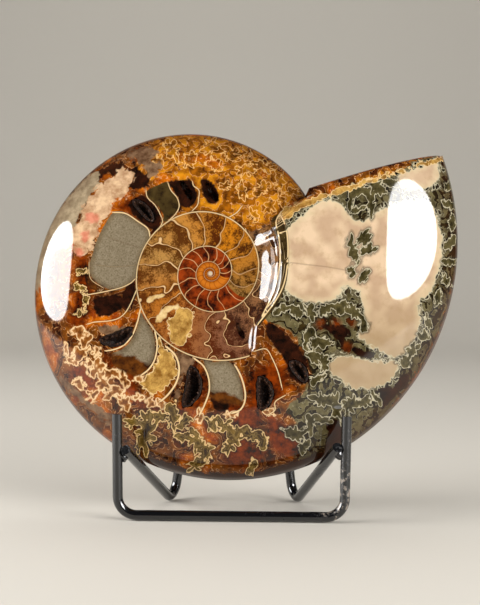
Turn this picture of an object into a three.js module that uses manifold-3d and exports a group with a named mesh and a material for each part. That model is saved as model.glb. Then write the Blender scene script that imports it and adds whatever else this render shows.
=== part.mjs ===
// Polished ammonite of the genus Cleoniceras, standing in a stand welded from two black wires.
// The shell is one stone, ground and polished on both flanks. Some of its chambers are open
// pits, and the larger ones are lined with a crust of crystals.
import * as THREE from 'three';
import { mergeVertices } from 'three/addons/utils/BufferGeometryUtils.js';
import Module from 'manifold-3d';

const wasm = await Module();
wasm.setup();

// Placing of the shell: its coil centre, and how far it leans back from upright.
const COIL_CENTRE = new THREE.Vector3(-7.6, 24, 76.65);
const LEAN_DEG = 10;

// Outline of the shell: a growth spiral about the coil centre, drawn in the shell's middle plane.
const RIM_RADIUS = 42.3;
const RIM_RADIUS_TURN_DEG = 40;
const GROWTH_PER_TURN = 0.772;
const RIM_WAVE = 0.0556;
const RIM_WAVE_PEAK_DEG = 128;

// The aperture is cut off straight, from the rim of the older whorl out to the tip.
const CUT_TILT_DEG = 18;
const CUT_OFFSET = 17.2;
const CUT_START_DEG = 41.8;
const CUT_END_DEG = 389.1;
const CUT_EDGE_RADIUS = 3.2;

// Thickness: half of it at the start and at the end of the last whorl, and at the coil centre.
const HALF_THICKNESS_START = 11.5;
const HALF_THICKNESS_END = 17.6;
const THICKNESS_POWER = 1.3;
const COIL_HALF_THICKNESS = 10.5;
const KEEL_HALF_WIDTH = 1.1;
const FLANK_REACH = 0.42;
const FLANK_POWER = 0.62;

// The bowl round the coil centre: its floor, and the shoulder where it meets the last whorl.
const BOWL_FLOOR_RADIUS = 14.5;
const OLD_SHOULDER_RADIUS = 34;
const BODY_SHOULDER_RADIUS = 27;
const CUT_SHOULDER_RADIUS = 31;

// Gaps and mesh fineness
const GAP = 0.3;
const RIM_STEPS = 52;
const CUT_STOPS = [0.2, 0.4, 0.6, 0.8, 0.96, 1];
const RINGS = [0, 0.12, 0.23, 0.33, 0.42, 0.51, 0.59, 0.67, 0.74, 0.81, 0.87, 0.92, 0.96, 0.985, 1];

// Open pits on the front flank. bend bows a pit's long axis sideways; crystals marks a lined pit.
const FRONT_PITS = [
  { u: -22.4, v: 20.9, turn: -46, length: 10.5, width: 4.2, depth: 4.5, bend: 0.5, crystals: true },
  { u: -8.5, v: 28.0, turn: -59, length: 7.5, width: 2.4, depth: 3, bend: 0.3, crystals: false },
  { u: 0.2, v: 27.6, turn: -57, length: 7.5, width: 2.8, depth: 3, bend: -0.3, crystals: false },
  { u: -30.3, v: -20.2, turn: 22, length: 12, width: 5, depth: 5, bend: -1.6, crystals: true },
  { u: -6.6, v: -37, turn: 80, length: 14, width: 6, depth: 6, bend: -1.8, crystals: true },
  { u: 17, v: -38.8, turn: 92, length: 11.5, width: 6, depth: 5.5, bend: -1.2, crystals: true },
  { u: 28.7, v: -31.9, turn: -52, length: 9, width: 4.8, depth: 4.5, bend: 0.6, crystals: true },
  { u: 10, v: -18.5, turn: -66, length: 7.5, width: 2, depth: 2.5, bend: 0, crystals: false },
];

// Open pits on the back flank, in the same coordinates as seen through the shell from the front
const BACK_PITS = [
  { u: -28, v: -20, turn: 35, length: 12, width: 5, depth: 5, bend: -1.4, crystals: true },
  { u: 9, v: -39, turn: 95, length: 12, width: 5.5, depth: 5, bend: -1.4, crystals: true },
  { u: -16, v: 26, turn: -40, length: 8, width: 2.6, depth: 3, bend: 0.4, crystals: false },
];
const CRUST_THICKNESS = 0.9;
const CRUST_DROP = 0.7;
const CRYSTAL_ROWS = 2;
const CRYSTAL_SIDES = 4;
const CRYSTAL_WIDTH = 2.4;
const CRYSTAL_HEIGHT = 2;

// The stand's wire
const WIRE_RADIUS = 1.65;
const WIRE_SIDES = 12;
const WIRE_REACH = WIRE_RADIUS / Math.cos(Math.PI / WIRE_SIDES);
const BEND_STEP_DEG = 27;
const POST_TOP = { x: 36.7, z: 34.1 };
const BAR_CORNER_X = 36.3;
const BAR_BEND_RADIUS = 6;
// The right arm is welded on a little higher than the left one.
const ARM_END = { x: 33.8, y: -1.9, leftZ: 22.9, rightZ: 24.3 };
const FOOT = { x: 20.8, y: 40.2, bend: 4.5 };
const ARCH_SIDE = { x: 11.5, y: 39, z: 74, bend: 11.4 };
const WELD_BEAD = { x: 34.5, y: 0.6, drop: 2, radius: 1.7 };

// Colours
const STONE = { color: 0x8a4a1c, roughness: 0.12, metalness: 0 };
const CRYSTAL = { color: 0x553f30, roughness: 0.5, metalness: 0 };
const PAINT = { color: 0x0b0b0c, roughness: 0.3, metalness: 0 };

const radians = THREE.MathUtils.degToRad;
const smoothstep = THREE.MathUtils.smoothstep;
const clamp = THREE.MathUtils.clamp;

// Radius of the outline at a turn of the spiral, in degrees
function rimRadius(turn) {
  const wave = RIM_WAVE * Math.cos(radians(turn - RIM_WAVE_PEAK_DEG));
  return RIM_RADIUS * Math.exp(GROWTH_PER_TURN * (turn - RIM_RADIUS_TURN_DEG) / 360 + wave);
}

// Distance of a point from the cut through the aperture, positive on the shell's side
function cutDistance(u, v) {
  return CUT_OFFSET + u * Math.sin(radians(CUT_TILT_DEG)) - v * Math.cos(radians(CUT_TILT_DEG));
}

// Radius at which the outer whorl's shoulder reaches its full height
function shoulderRadius(turn) {
  const body = smoothstep(turn, 250, 330);
  const cut = smoothstep(turn, 372, 402);
  return THREE.MathUtils.lerp(OLD_SHOULDER_RADIUS, BODY_SHOULDER_RADIUS, body)
    + (CUT_SHOULDER_RADIUS - BODY_SHOULDER_RADIUS) * cut;
}

// Height of the flank over the middle plane for a given turn: an ogive that rises from the keel,
// less the bowl round the coil centre
function whorlHeight(radius, turn) {
  const grown = clamp((turn - RIM_RADIUS_TURN_DEG) / 350, 0, 1) ** THICKNESS_POWER;
  const thickness = HALF_THICKNESS_START + (HALF_THICKNESS_END - HALF_THICKNESS_START) * grown;
  const rim = rimRadius(turn);
  const inset = clamp((rim - radius) / (FLANK_REACH * rim), 0, 1);
  const ogive = KEEL_HALF_WIDTH + (thickness - KEEL_HALF_WIDTH) * (1 - (1 - inset) ** 2) ** FLANK_POWER;
  const rise = smoothstep(radius, BOWL_FLOOR_RADIUS, shoulderRadius(turn));
  return COIL_HALF_THICKNESS + (ogive - COIL_HALF_THICKNESS) * rise;
}

// Distance from the end of the last whorl: the free cut beyond the older whorl's rim, and inside
// that rim the seam, which runs straight to the coil centre
function endDistance(u, v) {
  const radius = Math.hypot(u, v);
  if (radius > rimRadius(CUT_START_DEG)) return cutDistance(u, v);
  return radius * Math.sin(radians(CUT_START_DEG) - Math.atan2(v, u));
}

// Height of the flank at a point of the middle plane. The last whorl's end has a rounded edge,
// and over the older whorl it drops to that whorl in a step.
function flankHeight(u, v) {
  const radius = Math.hypot(u, v);
  const angle = THREE.MathUtils.euclideanModulo(THREE.MathUtils.radToDeg(Math.atan2(v, u)), 360);
  if (angle > CUT_START_DEG - 1e-6) return whorlHeight(radius, angle);
  const body = whorlHeight(radius, angle + 360);
  const inset = clamp(endDistance(u, v) / CUT_EDGE_RADIUS, 0, 1);
  const edge = Math.sqrt(1 - (1 - inset) ** 2);
  const onOlderWhorl = radius < rimRadius(CUT_START_DEG) - 1e-6;
  const foot = onOlderWhorl ? whorlHeight(radius, CUT_START_DEG) : body - CUT_EDGE_RADIUS;
  return foot + (body - foot) * edge;
}

// Outline of the shell: along the spiral to the tip, then back along the cut
function outline() {
  const points = [];
  for (let i = 0; i <= RIM_STEPS; i += 1) {
    const turn = CUT_START_DEG + (CUT_END_DEG - CUT_START_DEG) * i / RIM_STEPS;
    const radius = rimRadius(turn);
    points.push(new THREE.Vector2(radius * Math.cos(radians(turn)), radius * Math.sin(radians(turn))));
  }
  const tip = points[RIM_STEPS];
  CUT_STOPS.forEach((stop) => points.push(tip.clone().lerp(points[0], stop)));
  return points;
}

// The whole shell before its pits: a sphere's rings, laid out between the coil centre and the rim
function shellGeometry() {
  const rim = outline();
  const half = RINGS.length - 1;
  const columns = rim.length - 1;
  const geometry = new THREE.SphereGeometry(1, columns, 2 * half + 1);
  const position = geometry.attributes.position;
  for (let row = 0; row <= 2 * half + 1; row += 1) {
    const front = row <= half;
    const fraction = front ? RINGS[row] : RINGS[2 * half + 1 - row];
    for (let column = 0; column <= columns; column += 1) {
      const { x: u, y: v } = rim[column].clone().multiplyScalar(fraction);
      const height = flankHeight(u, v);
      position.setXYZ(row * (columns + 1) + column, u, v, front ? height : -height);
    }
  }
  return geometry;
}

// Closed mesh to manifold solid, and back
function toSolid(geometry) {
  const bare = geometry.clone();
  bare.deleteAttribute('normal');
  bare.deleteAttribute('uv');
  const merged = mergeVertices(bare, 1e-4);
  const mesh = new wasm.Mesh({
    numProp: 3,
    vertProperties: Float32Array.from(merged.attributes.position.array),
    triVerts: Uint32Array.from(merged.index.array),
  });
  return new wasm.Manifold(mesh);
}

function toGeometry(solid) {
  const mesh = solid.getMesh();
  const geometry = new THREE.BufferGeometry();
  geometry.setAttribute('position', new THREE.BufferAttribute(mesh.vertProperties, 3));
  geometry.setIndex(new THREE.BufferAttribute(mesh.triVerts, 1));
  geometry.computeVertexNormals();
  return geometry;
}

// Matrix that puts a pit's own frame on its flank: side is 1 for the front and -1 for the back
function pitPlace(pit, side) {
  const place = new THREE.Matrix4().makeRotationZ(radians(pit.turn));
  place.setPosition(pit.u, pit.v, side * flankHeight(pit.u, pit.v));
  return place;
}

// A pit's point in its own frame, from the direction x, y, z of a unit sphere and an inset
function pitPoint(pit, direction, inset) {
  const { x, y, z } = direction;
  return new THREE.Vector3(
    x * (pit.length / 2 - inset),
    y * (pit.width / 2 - inset) + pit.bend * (1 - x * x),
    z * (pit.depth - inset),
  );
}

// A bowed lens: the hollow of a pit, or that hollow shrunk by an inset
function pitSolid(pit, side, inset) {
  const geometry = new THREE.SphereGeometry(1, 9, 6);
  const position = geometry.attributes.position;
  for (let i = 0; i < position.count; i += 1) {
    const point = pitPoint(pit, new THREE.Vector3().fromBufferAttribute(position, i), inset);
    position.setXYZ(i, point.x, point.y, point.z);
  }
  return toSolid(geometry.applyMatrix4(pitPlace(pit, side)));
}

// Flat-faced crystals that stand on a pit's lining and point into the hollow
function crystals(pit, side) {
  const solids = [];
  const count = Math.round(pit.length / CRYSTAL_WIDTH);
  for (let row = 0; row < CRYSTAL_ROWS; row += 1) {
    for (let i = 0; i < count; i += 1) {
      const x = 1.5 * ((i + 0.5 * row + 0.25) / count - 0.5);
      const tilt = row === 0 ? -0.45 : 0.45;
      const flat = Math.sqrt(1 - x * x);
      const wall = new THREE.Vector3(x, flat * Math.sin(tilt), -side * flat * Math.cos(tilt));
      const root = pitPoint(pit, wall, GAP + CRUST_THICKNESS / 2);
      const size = 0.8 + 0.4 * ((i * 7 + row * 3) % 5) / 4;
      const crystal = new THREE.ConeGeometry(CRYSTAL_WIDTH / 2 * size, CRYSTAL_HEIGHT * size, CRYSTAL_SIDES);
      const aim = new THREE.Vector3(-0.5 * wall.x, -wall.y, side).normalize();
      const turn = new THREE.Quaternion().setFromUnitVectors(new THREE.Vector3(0, 1, 0), aim);
      crystal.translate(0, CRYSTAL_HEIGHT * size / 2, 0);
      crystal.applyQuaternion(turn);
      crystal.translate(root.x, root.y, root.z);
      solids.push(toSolid(crystal.applyMatrix4(pitPlace(pit, side))));
    }
  }
  return wasm.Manifold.union(solids);
}

// The crust of one pit, kept clear of the pit's wall and below the polished flank
function crustSolid(pit, side, shell) {
  const outer = pitSolid(pit, side, GAP);
  const lining = outer.subtract(pitSolid(pit, side, GAP + CRUST_THICKNESS));
  const sunk = shell.translate([0, 0, -side * CRUST_DROP]);
  const crust = lining.add(crystals(pit, side)).intersect(outer).intersect(sunk);
  const pieces = crust.decompose();
  return pieces.reduce((largest, piece) => (piece.volume() > largest.volume() ? piece : largest));
}

// Straight runs joined by round bends, with a station only where the wire turns
class WirePath extends THREE.Curve {
  constructor(corners) {
    super();
    this.stations = [];
    corners.forEach((corner, i) => {
      const point = corner.point;
      if (!corner.bend) {
        const next = corners[i + 1] ?? corners[i - 1];
        const away = next.point.clone().sub(point).normalize();
        this.stations.push({ point, tangent: i === 0 ? away : away.negate() });
        return;
      }
      const before = corners[i - 1].point.clone().sub(point).normalize();
      const after = corners[i + 1].point.clone().sub(point).normalize();
      const halfAngle = before.angleTo(after) / 2;
      const centre = before.clone().add(after).normalize()
        .multiplyScalar(corner.bend / Math.sin(halfAngle)).add(point);
      const start = before.clone().multiplyScalar(corner.bend / Math.tan(halfAngle)).add(point).sub(centre);
      const axis = new THREE.Vector3().crossVectors(after, before).normalize();
      const sweep = Math.PI - 2 * halfAngle;
      const steps = Math.ceil(sweep / radians(BEND_STEP_DEG));
      for (let step = 0; step <= steps; step += 1) {
        const arm = start.clone().applyAxisAngle(axis, sweep * step / steps);
        const tangent = new THREE.Vector3().crossVectors(axis, arm).normalize();
        this.stations.push({ point: arm.add(centre), tangent });
      }
    });
  }

  get steps() {
    return this.stations.length - 1;
  }

  getPointAt(t) {
    return this.stations[Math.round(t * this.steps)].point.clone();
  }

  getTangentAt(t) {
    return this.stations[Math.round(t * this.steps)].tangent.clone();
  }
}

// A wire of round section along corners, drawn with flats that face along its frame
function wireSolid(corners) {
  const section = new THREE.Shape();
  for (let i = 0; i < WIRE_SIDES; i += 1) {
    const angle = 2 * Math.PI * (i + 0.5) / WIRE_SIDES;
    const point = [WIRE_REACH * Math.cos(angle), WIRE_REACH * Math.sin(angle)];
    if (i === 0) section.moveTo(...point);
    else section.lineTo(...point);
  }
  const path = new WirePath(corners);
  return toSolid(new THREE.ExtrudeGeometry(section, { steps: path.steps, extrudePath: path }));
}

function corner(x, y, z, bend = 0) {
  return { point: new THREE.Vector3(x, y, z), bend };
}

// Front wire: a bar on the ground with a post at each end
function frontFrame() {
  return wireSolid([
    corner(-POST_TOP.x, 0, POST_TOP.z),
    corner(-BAR_CORNER_X, 0, WIRE_RADIUS, BAR_BEND_RADIUS),
    corner(BAR_CORNER_X, 0, WIRE_RADIUS, BAR_BEND_RADIUS),
    corner(POST_TOP.x, 0, POST_TOP.z),
  ]);
}

// Free end of an arm: side is -1 for the left one and 1 for the right one
function armEnd(side) {
  return corner(side * ARM_END.x, ARM_END.y, side < 0 ? ARM_END.leftZ : ARM_END.rightZ);
}

// Corner point under a foot. Its height settles where the round bend's lowest point stands on
// the ground, in a few passes because the height also turns the arm and the upright.
function footCorner(side) {
  const foot = corner(side * FOOT.x, FOOT.y, 0, FOOT.bend);
  const archSide = new THREE.Vector3(side * ARCH_SIDE.x, ARCH_SIDE.y, ARCH_SIDE.z);
  for (let pass = 0; pass < 5; pass += 1) {
    const arm = armEnd(side).point.sub(foot.point).normalize();
    const upright = archSide.clone().sub(foot.point).normalize();
    const halfAngle = arm.angleTo(upright) / 2;
    const centreLift = arm.clone().add(upright).normalize().z * FOOT.bend / Math.sin(halfAngle);
    const planeNormal = new THREE.Vector3().crossVectors(arm, upright).normalize();
    const drop = FOOT.bend * Math.sqrt(1 - planeNormal.z ** 2);
    foot.point.z = WIRE_REACH + drop - centreLift;
  }
  return foot;
}

// Rear wire: an arm from each post down to a foot, and an upright from each foot to a narrow arch.
// Beads of weld join it to the posts.
function rearFrame(front) {
  const wire = wireSolid([
    armEnd(-1),
    footCorner(-1),
    corner(-ARCH_SIDE.x, ARCH_SIDE.y, ARCH_SIDE.z, ARCH_SIDE.bend),
    corner(ARCH_SIDE.x, ARCH_SIDE.y, ARCH_SIDE.z, ARCH_SIDE.bend),
    footCorner(1),
    armEnd(1),
  ]);
  const beads = [-1, 1].map((side) => {
    const bead = new THREE.SphereGeometry(WELD_BEAD.radius, 8, 5);
    bead.translate(side * WELD_BEAD.x, WELD_BEAD.y, armEnd(side).point.z - WELD_BEAD.drop);
    return toSolid(bead);
  });
  const clearance = [-1, 1].map((side) => {
    const post = new THREE.CylinderGeometry(WIRE_REACH + GAP, WIRE_REACH + GAP, POST_TOP.z, 16);
    post.rotateX(Math.PI / 2);
    post.rotateY(side * Math.atan2(POST_TOP.x - BAR_CORNER_X, POST_TOP.z - WIRE_RADIUS));
    post.translate(side * (POST_TOP.x + BAR_CORNER_X) / 2, 0, (POST_TOP.z + WIRE_RADIUS) / 2);
    return toSolid(post);
  });
  return wasm.Manifold.union([wire, ...beads]).subtract(wasm.Manifold.union(clearance));
}

function addMesh(parent, name, solid, finish) {
  const mesh = new THREE.Mesh(toGeometry(solid), new THREE.MeshStandardMaterial(finish));
  mesh.name = name;
  parent.add(mesh);
  return mesh;
}

const fossil = new THREE.Group();
fossil.rotation.x = radians(90 - LEAN_DEG);
fossil.position.copy(COIL_CENTRE);

const shell = toSolid(shellGeometry());
const flanks = [{ side: 1, label: 'front', pits: FRONT_PITS }, { side: -1, label: 'back', pits: BACK_PITS }];
const hollows = flanks.flatMap(({ side, pits }) => pits.map((pit) => pitSolid(pit, side, 0)));
addMesh(fossil, 'ammonite', shell.subtract(wasm.Manifold.union(hollows)), STONE);
flanks.forEach(({ side, label, pits }) => {
  pits.filter((pit) => pit.crystals).forEach((pit, i) => {
    addMesh(fossil, `druse_${label}_${i + 1}`, crustSolid(pit, side, shell), CRYSTAL);
  });
});

const assembly = new THREE.Group();
assembly.add(fossil);
addMesh(assembly, 'front_frame', frontFrame(), PAINT);
addMesh(assembly, 'rear_frame', rearFrame(), PAINT);

// The origin is on the ground, under the middle of the whole object.
const ammonite = new THREE.Group();
ammonite.add(assembly);
ammonite.updateMatrixWorld(true);
const bounds = new THREE.Box3().setFromObject(assembly, true);
const centre = bounds.getCenter(new THREE.Vector3());
assembly.position.set(-centre.x, -centre.y, -bounds.min.z);

export default ammonite;
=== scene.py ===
"""Whole polished Cleoniceras ammonite on a black wire stand, dressed for the camera.

The shell is one stone, ground and polished on both flanks. Its markings are drawn over fields of
distance in millimetres, which are worked out for every vertex from a few named outlines.
"""
import logging
import math
from dataclasses import dataclass
from enum import Enum

import bpy
import numpy as np
from bpy.types import Material, Mesh, Node, NodeSocket, Object
from mathutils import Matrix, Vector


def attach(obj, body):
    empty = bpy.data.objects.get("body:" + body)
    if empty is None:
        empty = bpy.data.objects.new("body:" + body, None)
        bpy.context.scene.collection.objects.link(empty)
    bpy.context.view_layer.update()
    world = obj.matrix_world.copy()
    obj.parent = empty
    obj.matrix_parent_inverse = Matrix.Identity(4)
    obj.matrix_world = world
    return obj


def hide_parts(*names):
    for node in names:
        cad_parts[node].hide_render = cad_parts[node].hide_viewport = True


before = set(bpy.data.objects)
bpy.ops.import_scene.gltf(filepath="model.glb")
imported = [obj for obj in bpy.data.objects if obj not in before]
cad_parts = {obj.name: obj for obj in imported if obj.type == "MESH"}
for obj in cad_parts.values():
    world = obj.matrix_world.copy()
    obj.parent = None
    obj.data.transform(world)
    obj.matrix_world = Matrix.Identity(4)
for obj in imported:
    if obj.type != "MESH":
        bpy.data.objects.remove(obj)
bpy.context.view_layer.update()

LOG = logging.getLogger("ammonite")
MM = 0.001

# The shell's own frame in the row frame, in mm: coil centre, and how far the shell leans back
COIL_CENTRE = np.array([-11.5606, 2.2234, 76.65])
LEAN = math.radians(10)
ACROSS = np.array([1.0, 0.0, 0.0])
UPWARD = np.array([0.0, math.sin(LEAN), math.cos(LEAN)])
OUTWARD = np.array([0.0, -math.cos(LEAN), math.sin(LEAN)])

# The camera: place and aim in mm, and the picture it takes
CAMERA_PLACE = np.array([6.43, -476.09, 88.70])
CAMERA_AIM = np.array([-1.973, 0.0, 69.228])
CAMERA_ROLL = math.radians(0.426)
LENS_MM = 85.0
SENSOR_MM = 36.0
PICTURE = (480, 605)
# Coil centre in the picture, and millimetres of shell to one pixel
COIL_PIXEL = np.array([210.4, 273.5])
MM_PER_PIXEL = 0.332
# How far from an outline its distance is still worked out, in pixels
FIELD_LIMIT = 24.0
# Where the seam beside the inner whorls begins and is fully there, in mm to the right of the coil centre
SEAM_ENDS = (11.0, 16.0)

# A colour is a socket or six sRGB hex digits, and a level is a socket or a number
Colour = str | NodeSocket
Level = float | NodeSocket
Numbers = float | np.ndarray


class Kind(Enum):
    """The minerals and stains that an outline can hold, and painted shade. The value is the attribute's name.
    """

    GOLD = "gold"
    KHAKI = "khaki"
    RUST = "rust"
    UMBER = "umber"
    MAUVE = "mauve"
    STONE = "stone"
    GLASS = "glass"
    PORCELAIN = "porcelain"
    FERN = "fern"
    CORAL = "coral"
    LEAF = "leaf"
    AGATE = "agate"
    CREAM = "cream"
    FRILL = "frill"
    SAND = "sand"
    CHAMBER_SHADE = "chamber_shade"
    ASH = "ash"
    LOBE = "lobe"
    COIL = "coil"


def linear(colour: str) -> tuple[float, float, float, float]:
    """Turn an sRGB hex colour into linear red, green, blue and alpha.

    Args:
        colour: six hex digits.

    Returns:
        The linear colour with an alpha of one.
    """
    parts = [int(colour[i:i + 2], 16) / 255 for i in (0, 2, 4)]
    return tuple(c / 12.92 if c <= 0.04045 else ((c + 0.055) / 1.055) ** 2.4 for c in parts) + (1.0,)


def smoothstep(x: np.ndarray, low: float, high: float) -> np.ndarray:
    """Smooth rise of x from 0 at low to 1 at high."""
    t = np.clip((x - low) / (high - low), 0, 1)
    return t * t * (3 - 2 * t)


def camera_axes() -> tuple[np.ndarray, np.ndarray, np.ndarray]:
    """Work out how the camera stands.

    Returns:
        The camera's rightward, upward and forward unit vectors.
    """
    forward = CAMERA_AIM - CAMERA_PLACE
    forward = forward / np.linalg.norm(forward)
    level = np.cross(forward, (0, 0, 1))
    level /= np.linalg.norm(level)
    rise = np.cross(level, forward)
    cos, sin = math.cos(CAMERA_ROLL), math.sin(CAMERA_ROLL)
    return level * cos + rise * sin, rise * cos - level * sin, forward


def to_picture(points: np.ndarray) -> np.ndarray:
    """Work out where points stand in the picture.

    Args:
        points: array of points in the row frame, in mm.

    Returns:
        Array of pixel x and y.
    """
    right, up, forward = camera_axes()
    away = points - CAMERA_PLACE
    reach = LENS_MM / SENSOR_MM * PICTURE[1] / (away @ forward)
    return np.stack([PICTURE[0] / 2 + reach * (away @ right), PICTURE[1] / 2 - reach * (away @ up)], -1)


def rounded(corners: tuple, closed: bool = True, steps: int = 6) -> np.ndarray:
    """Draw a smooth curve through corner points.

    Args:
        corners: the points.
        closed: whether the curve runs back to its start.
        steps: how many points each stretch gets.

    Returns:
        Array of points on the curve.
    """
    p = np.array(corners, float)
    before, after, later = (np.roll(p, n, 0) for n in (1, -1, -2))
    if not closed:
        before[0], after[-1], later[-1], later[-2] = p[0], p[-1], p[-1], p[-1]
    t = (np.arange(steps) / steps)[None, :, None]
    a, b, c, d = (q[:, None] for q in (before, p, after, later))
    curve = 0.5 * (2 * b + (c - a) * t + (2 * a - 5 * b + 4 * c - d) * t**2 + (3 * b - a - 3 * c + d) * t**3)
    return curve.reshape(-1, 2) if closed else np.vstack([curve[:-1].reshape(-1, 2), p[-1]])


def lobed(curve: np.ndarray, length: float, height: float, seed: int) -> np.ndarray:
    """Push a closed curve out into round lobes, as the edge of a septum is folded.

    Args:
        curve: points of the closed curve.
        length: length of a lobe along the curve.
        height: how far a lobe stands out.
        seed: number that varies the lobes.

    Returns:
        Array of points on the lobed curve.
    """
    closed = np.vstack([curve, curve[:1]])
    run = np.concatenate([[0], np.cumsum(np.hypot(*np.diff(closed, axis=0).T))])
    count = max(3, round(run[-1] / length))
    along = np.linspace(0, 1, count * 10, endpoint=False)
    at = np.stack([np.interp(along * run[-1], run, closed[:, i]) for i in (0, 1)], -1)
    tangent = np.roll(at, -2, 0) - np.roll(at, 2, 0)
    tangent /= np.linalg.norm(tangent, axis=1)[:, None] + 1e-9
    normal = np.stack([tangent[:, 1], -tangent[:, 0]], -1)
    area = np.sum(at[:, 0] * np.roll(at[:, 1], -1) - at[:, 1] * np.roll(at[:, 0], -1))
    # the lobes crowd together in three places and are large in five, and each overhangs its neck
    crowding, mean_size, size_wave, neck, lean = 1.3, 0.75, 0.35, 0.45, 0.3
    phase = along * count * math.pi + crowding * np.sin(2 * math.pi * along * 3 + seed)
    size = mean_size + size_wave * np.sin(2 * math.pi * along * 5 + 2 * seed)
    bulge = np.abs(np.sin(phase)) ** 0.8 * size - neck
    overhang = lean * np.sin(2 * phase)
    return at + (normal * np.sign(area) * bulge[:, None] + tangent * overhang[:, None]) * height


def inside_distance(points: np.ndarray, outline: np.ndarray) -> np.ndarray:
    """Measure points against an outline.

    Args:
        points: array of points.
        outline: corners of a closed outline.

    Returns:
        The distance of each point from the outline, positive inside it.
    """
    best = np.full(len(points), 1e9)
    inside = np.zeros(len(points), bool)
    x, y = points[:, 0], points[:, 1]
    for a, b in zip(outline, np.roll(outline, -1, 0)):
        edge = b - a
        t = np.clip(((points - a) @ edge) / (edge @ edge + 1e-12), 0, 1)
        best = np.minimum(best, np.hypot(x - a[0] - t * edge[0], y - a[1] - t * edge[1]))
        if a[1] != b[1]:
            inside ^= ((a[1] > y) != (b[1] > y)) & (x < a[0] + (y - a[1]) * edge[0] / edge[1])
    return np.where(inside, best, -best)


def line_distance(points: np.ndarray, line: np.ndarray) -> np.ndarray:
    """Measure points against an open line.

    Args:
        points: array of points.
        line: corners of the line.

    Returns:
        The distance of each point from the line, negative on its left side.
    """
    best = np.full(len(points), 1e9)
    for a, b in zip(line[:-1], line[1:]):
        edge = b - a
        away = points - a
        t = np.clip((away @ edge) / (edge @ edge + 1e-12), 0, 1)
        reach = np.hypot(*(away - t[:, None] * edge).T)
        side = np.where(edge[0] * away[:, 1] < edge[1] * away[:, 0], -1.0, 1.0)
        best = np.where(reach < np.abs(best), side * reach, best)
    return best


def within(points: np.ndarray, outline: np.ndarray) -> np.ndarray:
    """Find the points whose distance from an outline is worked out.

    Args:
        points: array of points.
        outline: corners of the outline.

    Returns:
        Indices of the points that lie inside its box, or outside it by less than the limit.
    """
    near = (points > outline.min(0) - FIELD_LIMIT) & (points < outline.max(0) + FIELD_LIMIT)
    return np.flatnonzero(np.all(near, 1))


@dataclass(frozen=True)
class Zone:
    """One patch of the polished face, outlined in pixels of the picture.

    corners are what the outline needs; lobe_length and lobe_height fold its edge, in pixels.
    """

    kind: Kind
    corners: tuple
    lobe_length: float = 0.0
    lobe_height: float = 0.0

    def outline(self, seed: int) -> np.ndarray:
        """Return the outline's points, folded into lobes where the zone has them."""
        curve = rounded(self.corners)
        return lobed(curve, self.lobe_length, self.lobe_height, seed) if self.lobe_height else curve


@dataclass(frozen=True)
class Fan:
    """A fan of round fingers, as a suture is folded. Its hub and its reach are in pixels.

    The notches between the fingers reach a share of the way, and the other sizes say how far the
    fingers differ in length and in width, lean over, and stretch to one side.
    """

    kind: Kind
    x: float
    y: float
    reach: float
    fingers: int = 8
    notch: float = 0.38
    uneven: float = 0.28
    ripple: float = 0.14
    crowding: float = 0.9
    lean: float = 0.5
    stretch: float = 0.25
    points_per_finger: int = 9

    def outline(self, seed: int) -> np.ndarray:
        """Draw the fan. Its fingers differ in length, and lean to one side.

        Args:
            seed: number that varies the fingers.

        Returns:
            Array of points on the outline.
        """
        count = self.points_per_finger * self.fingers
        along = np.arange(count) / count
        turn = 2 * math.pi * along
        length = 1 + self.uneven * np.sin(2 * turn + 1.7 * seed) + self.ripple * np.sin(5 * turn + seed)
        phase = math.pi * self.fingers * along + self.crowding * np.sin(2 * turn + 2.9 * seed)
        finger = self.notch + (1 - self.notch) * np.abs(np.sin(phase)) ** 0.7
        lean = turn + self.lean * (finger - 0.7) * math.sin(2.3 * seed)
        reach = self.reach * length * finger
        wide = 1 + self.stretch * math.sin(4.1 * seed)
        return np.column_stack([self.x + reach * wide * np.cos(lean), self.y - reach / wide * np.sin(lean)])


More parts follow.
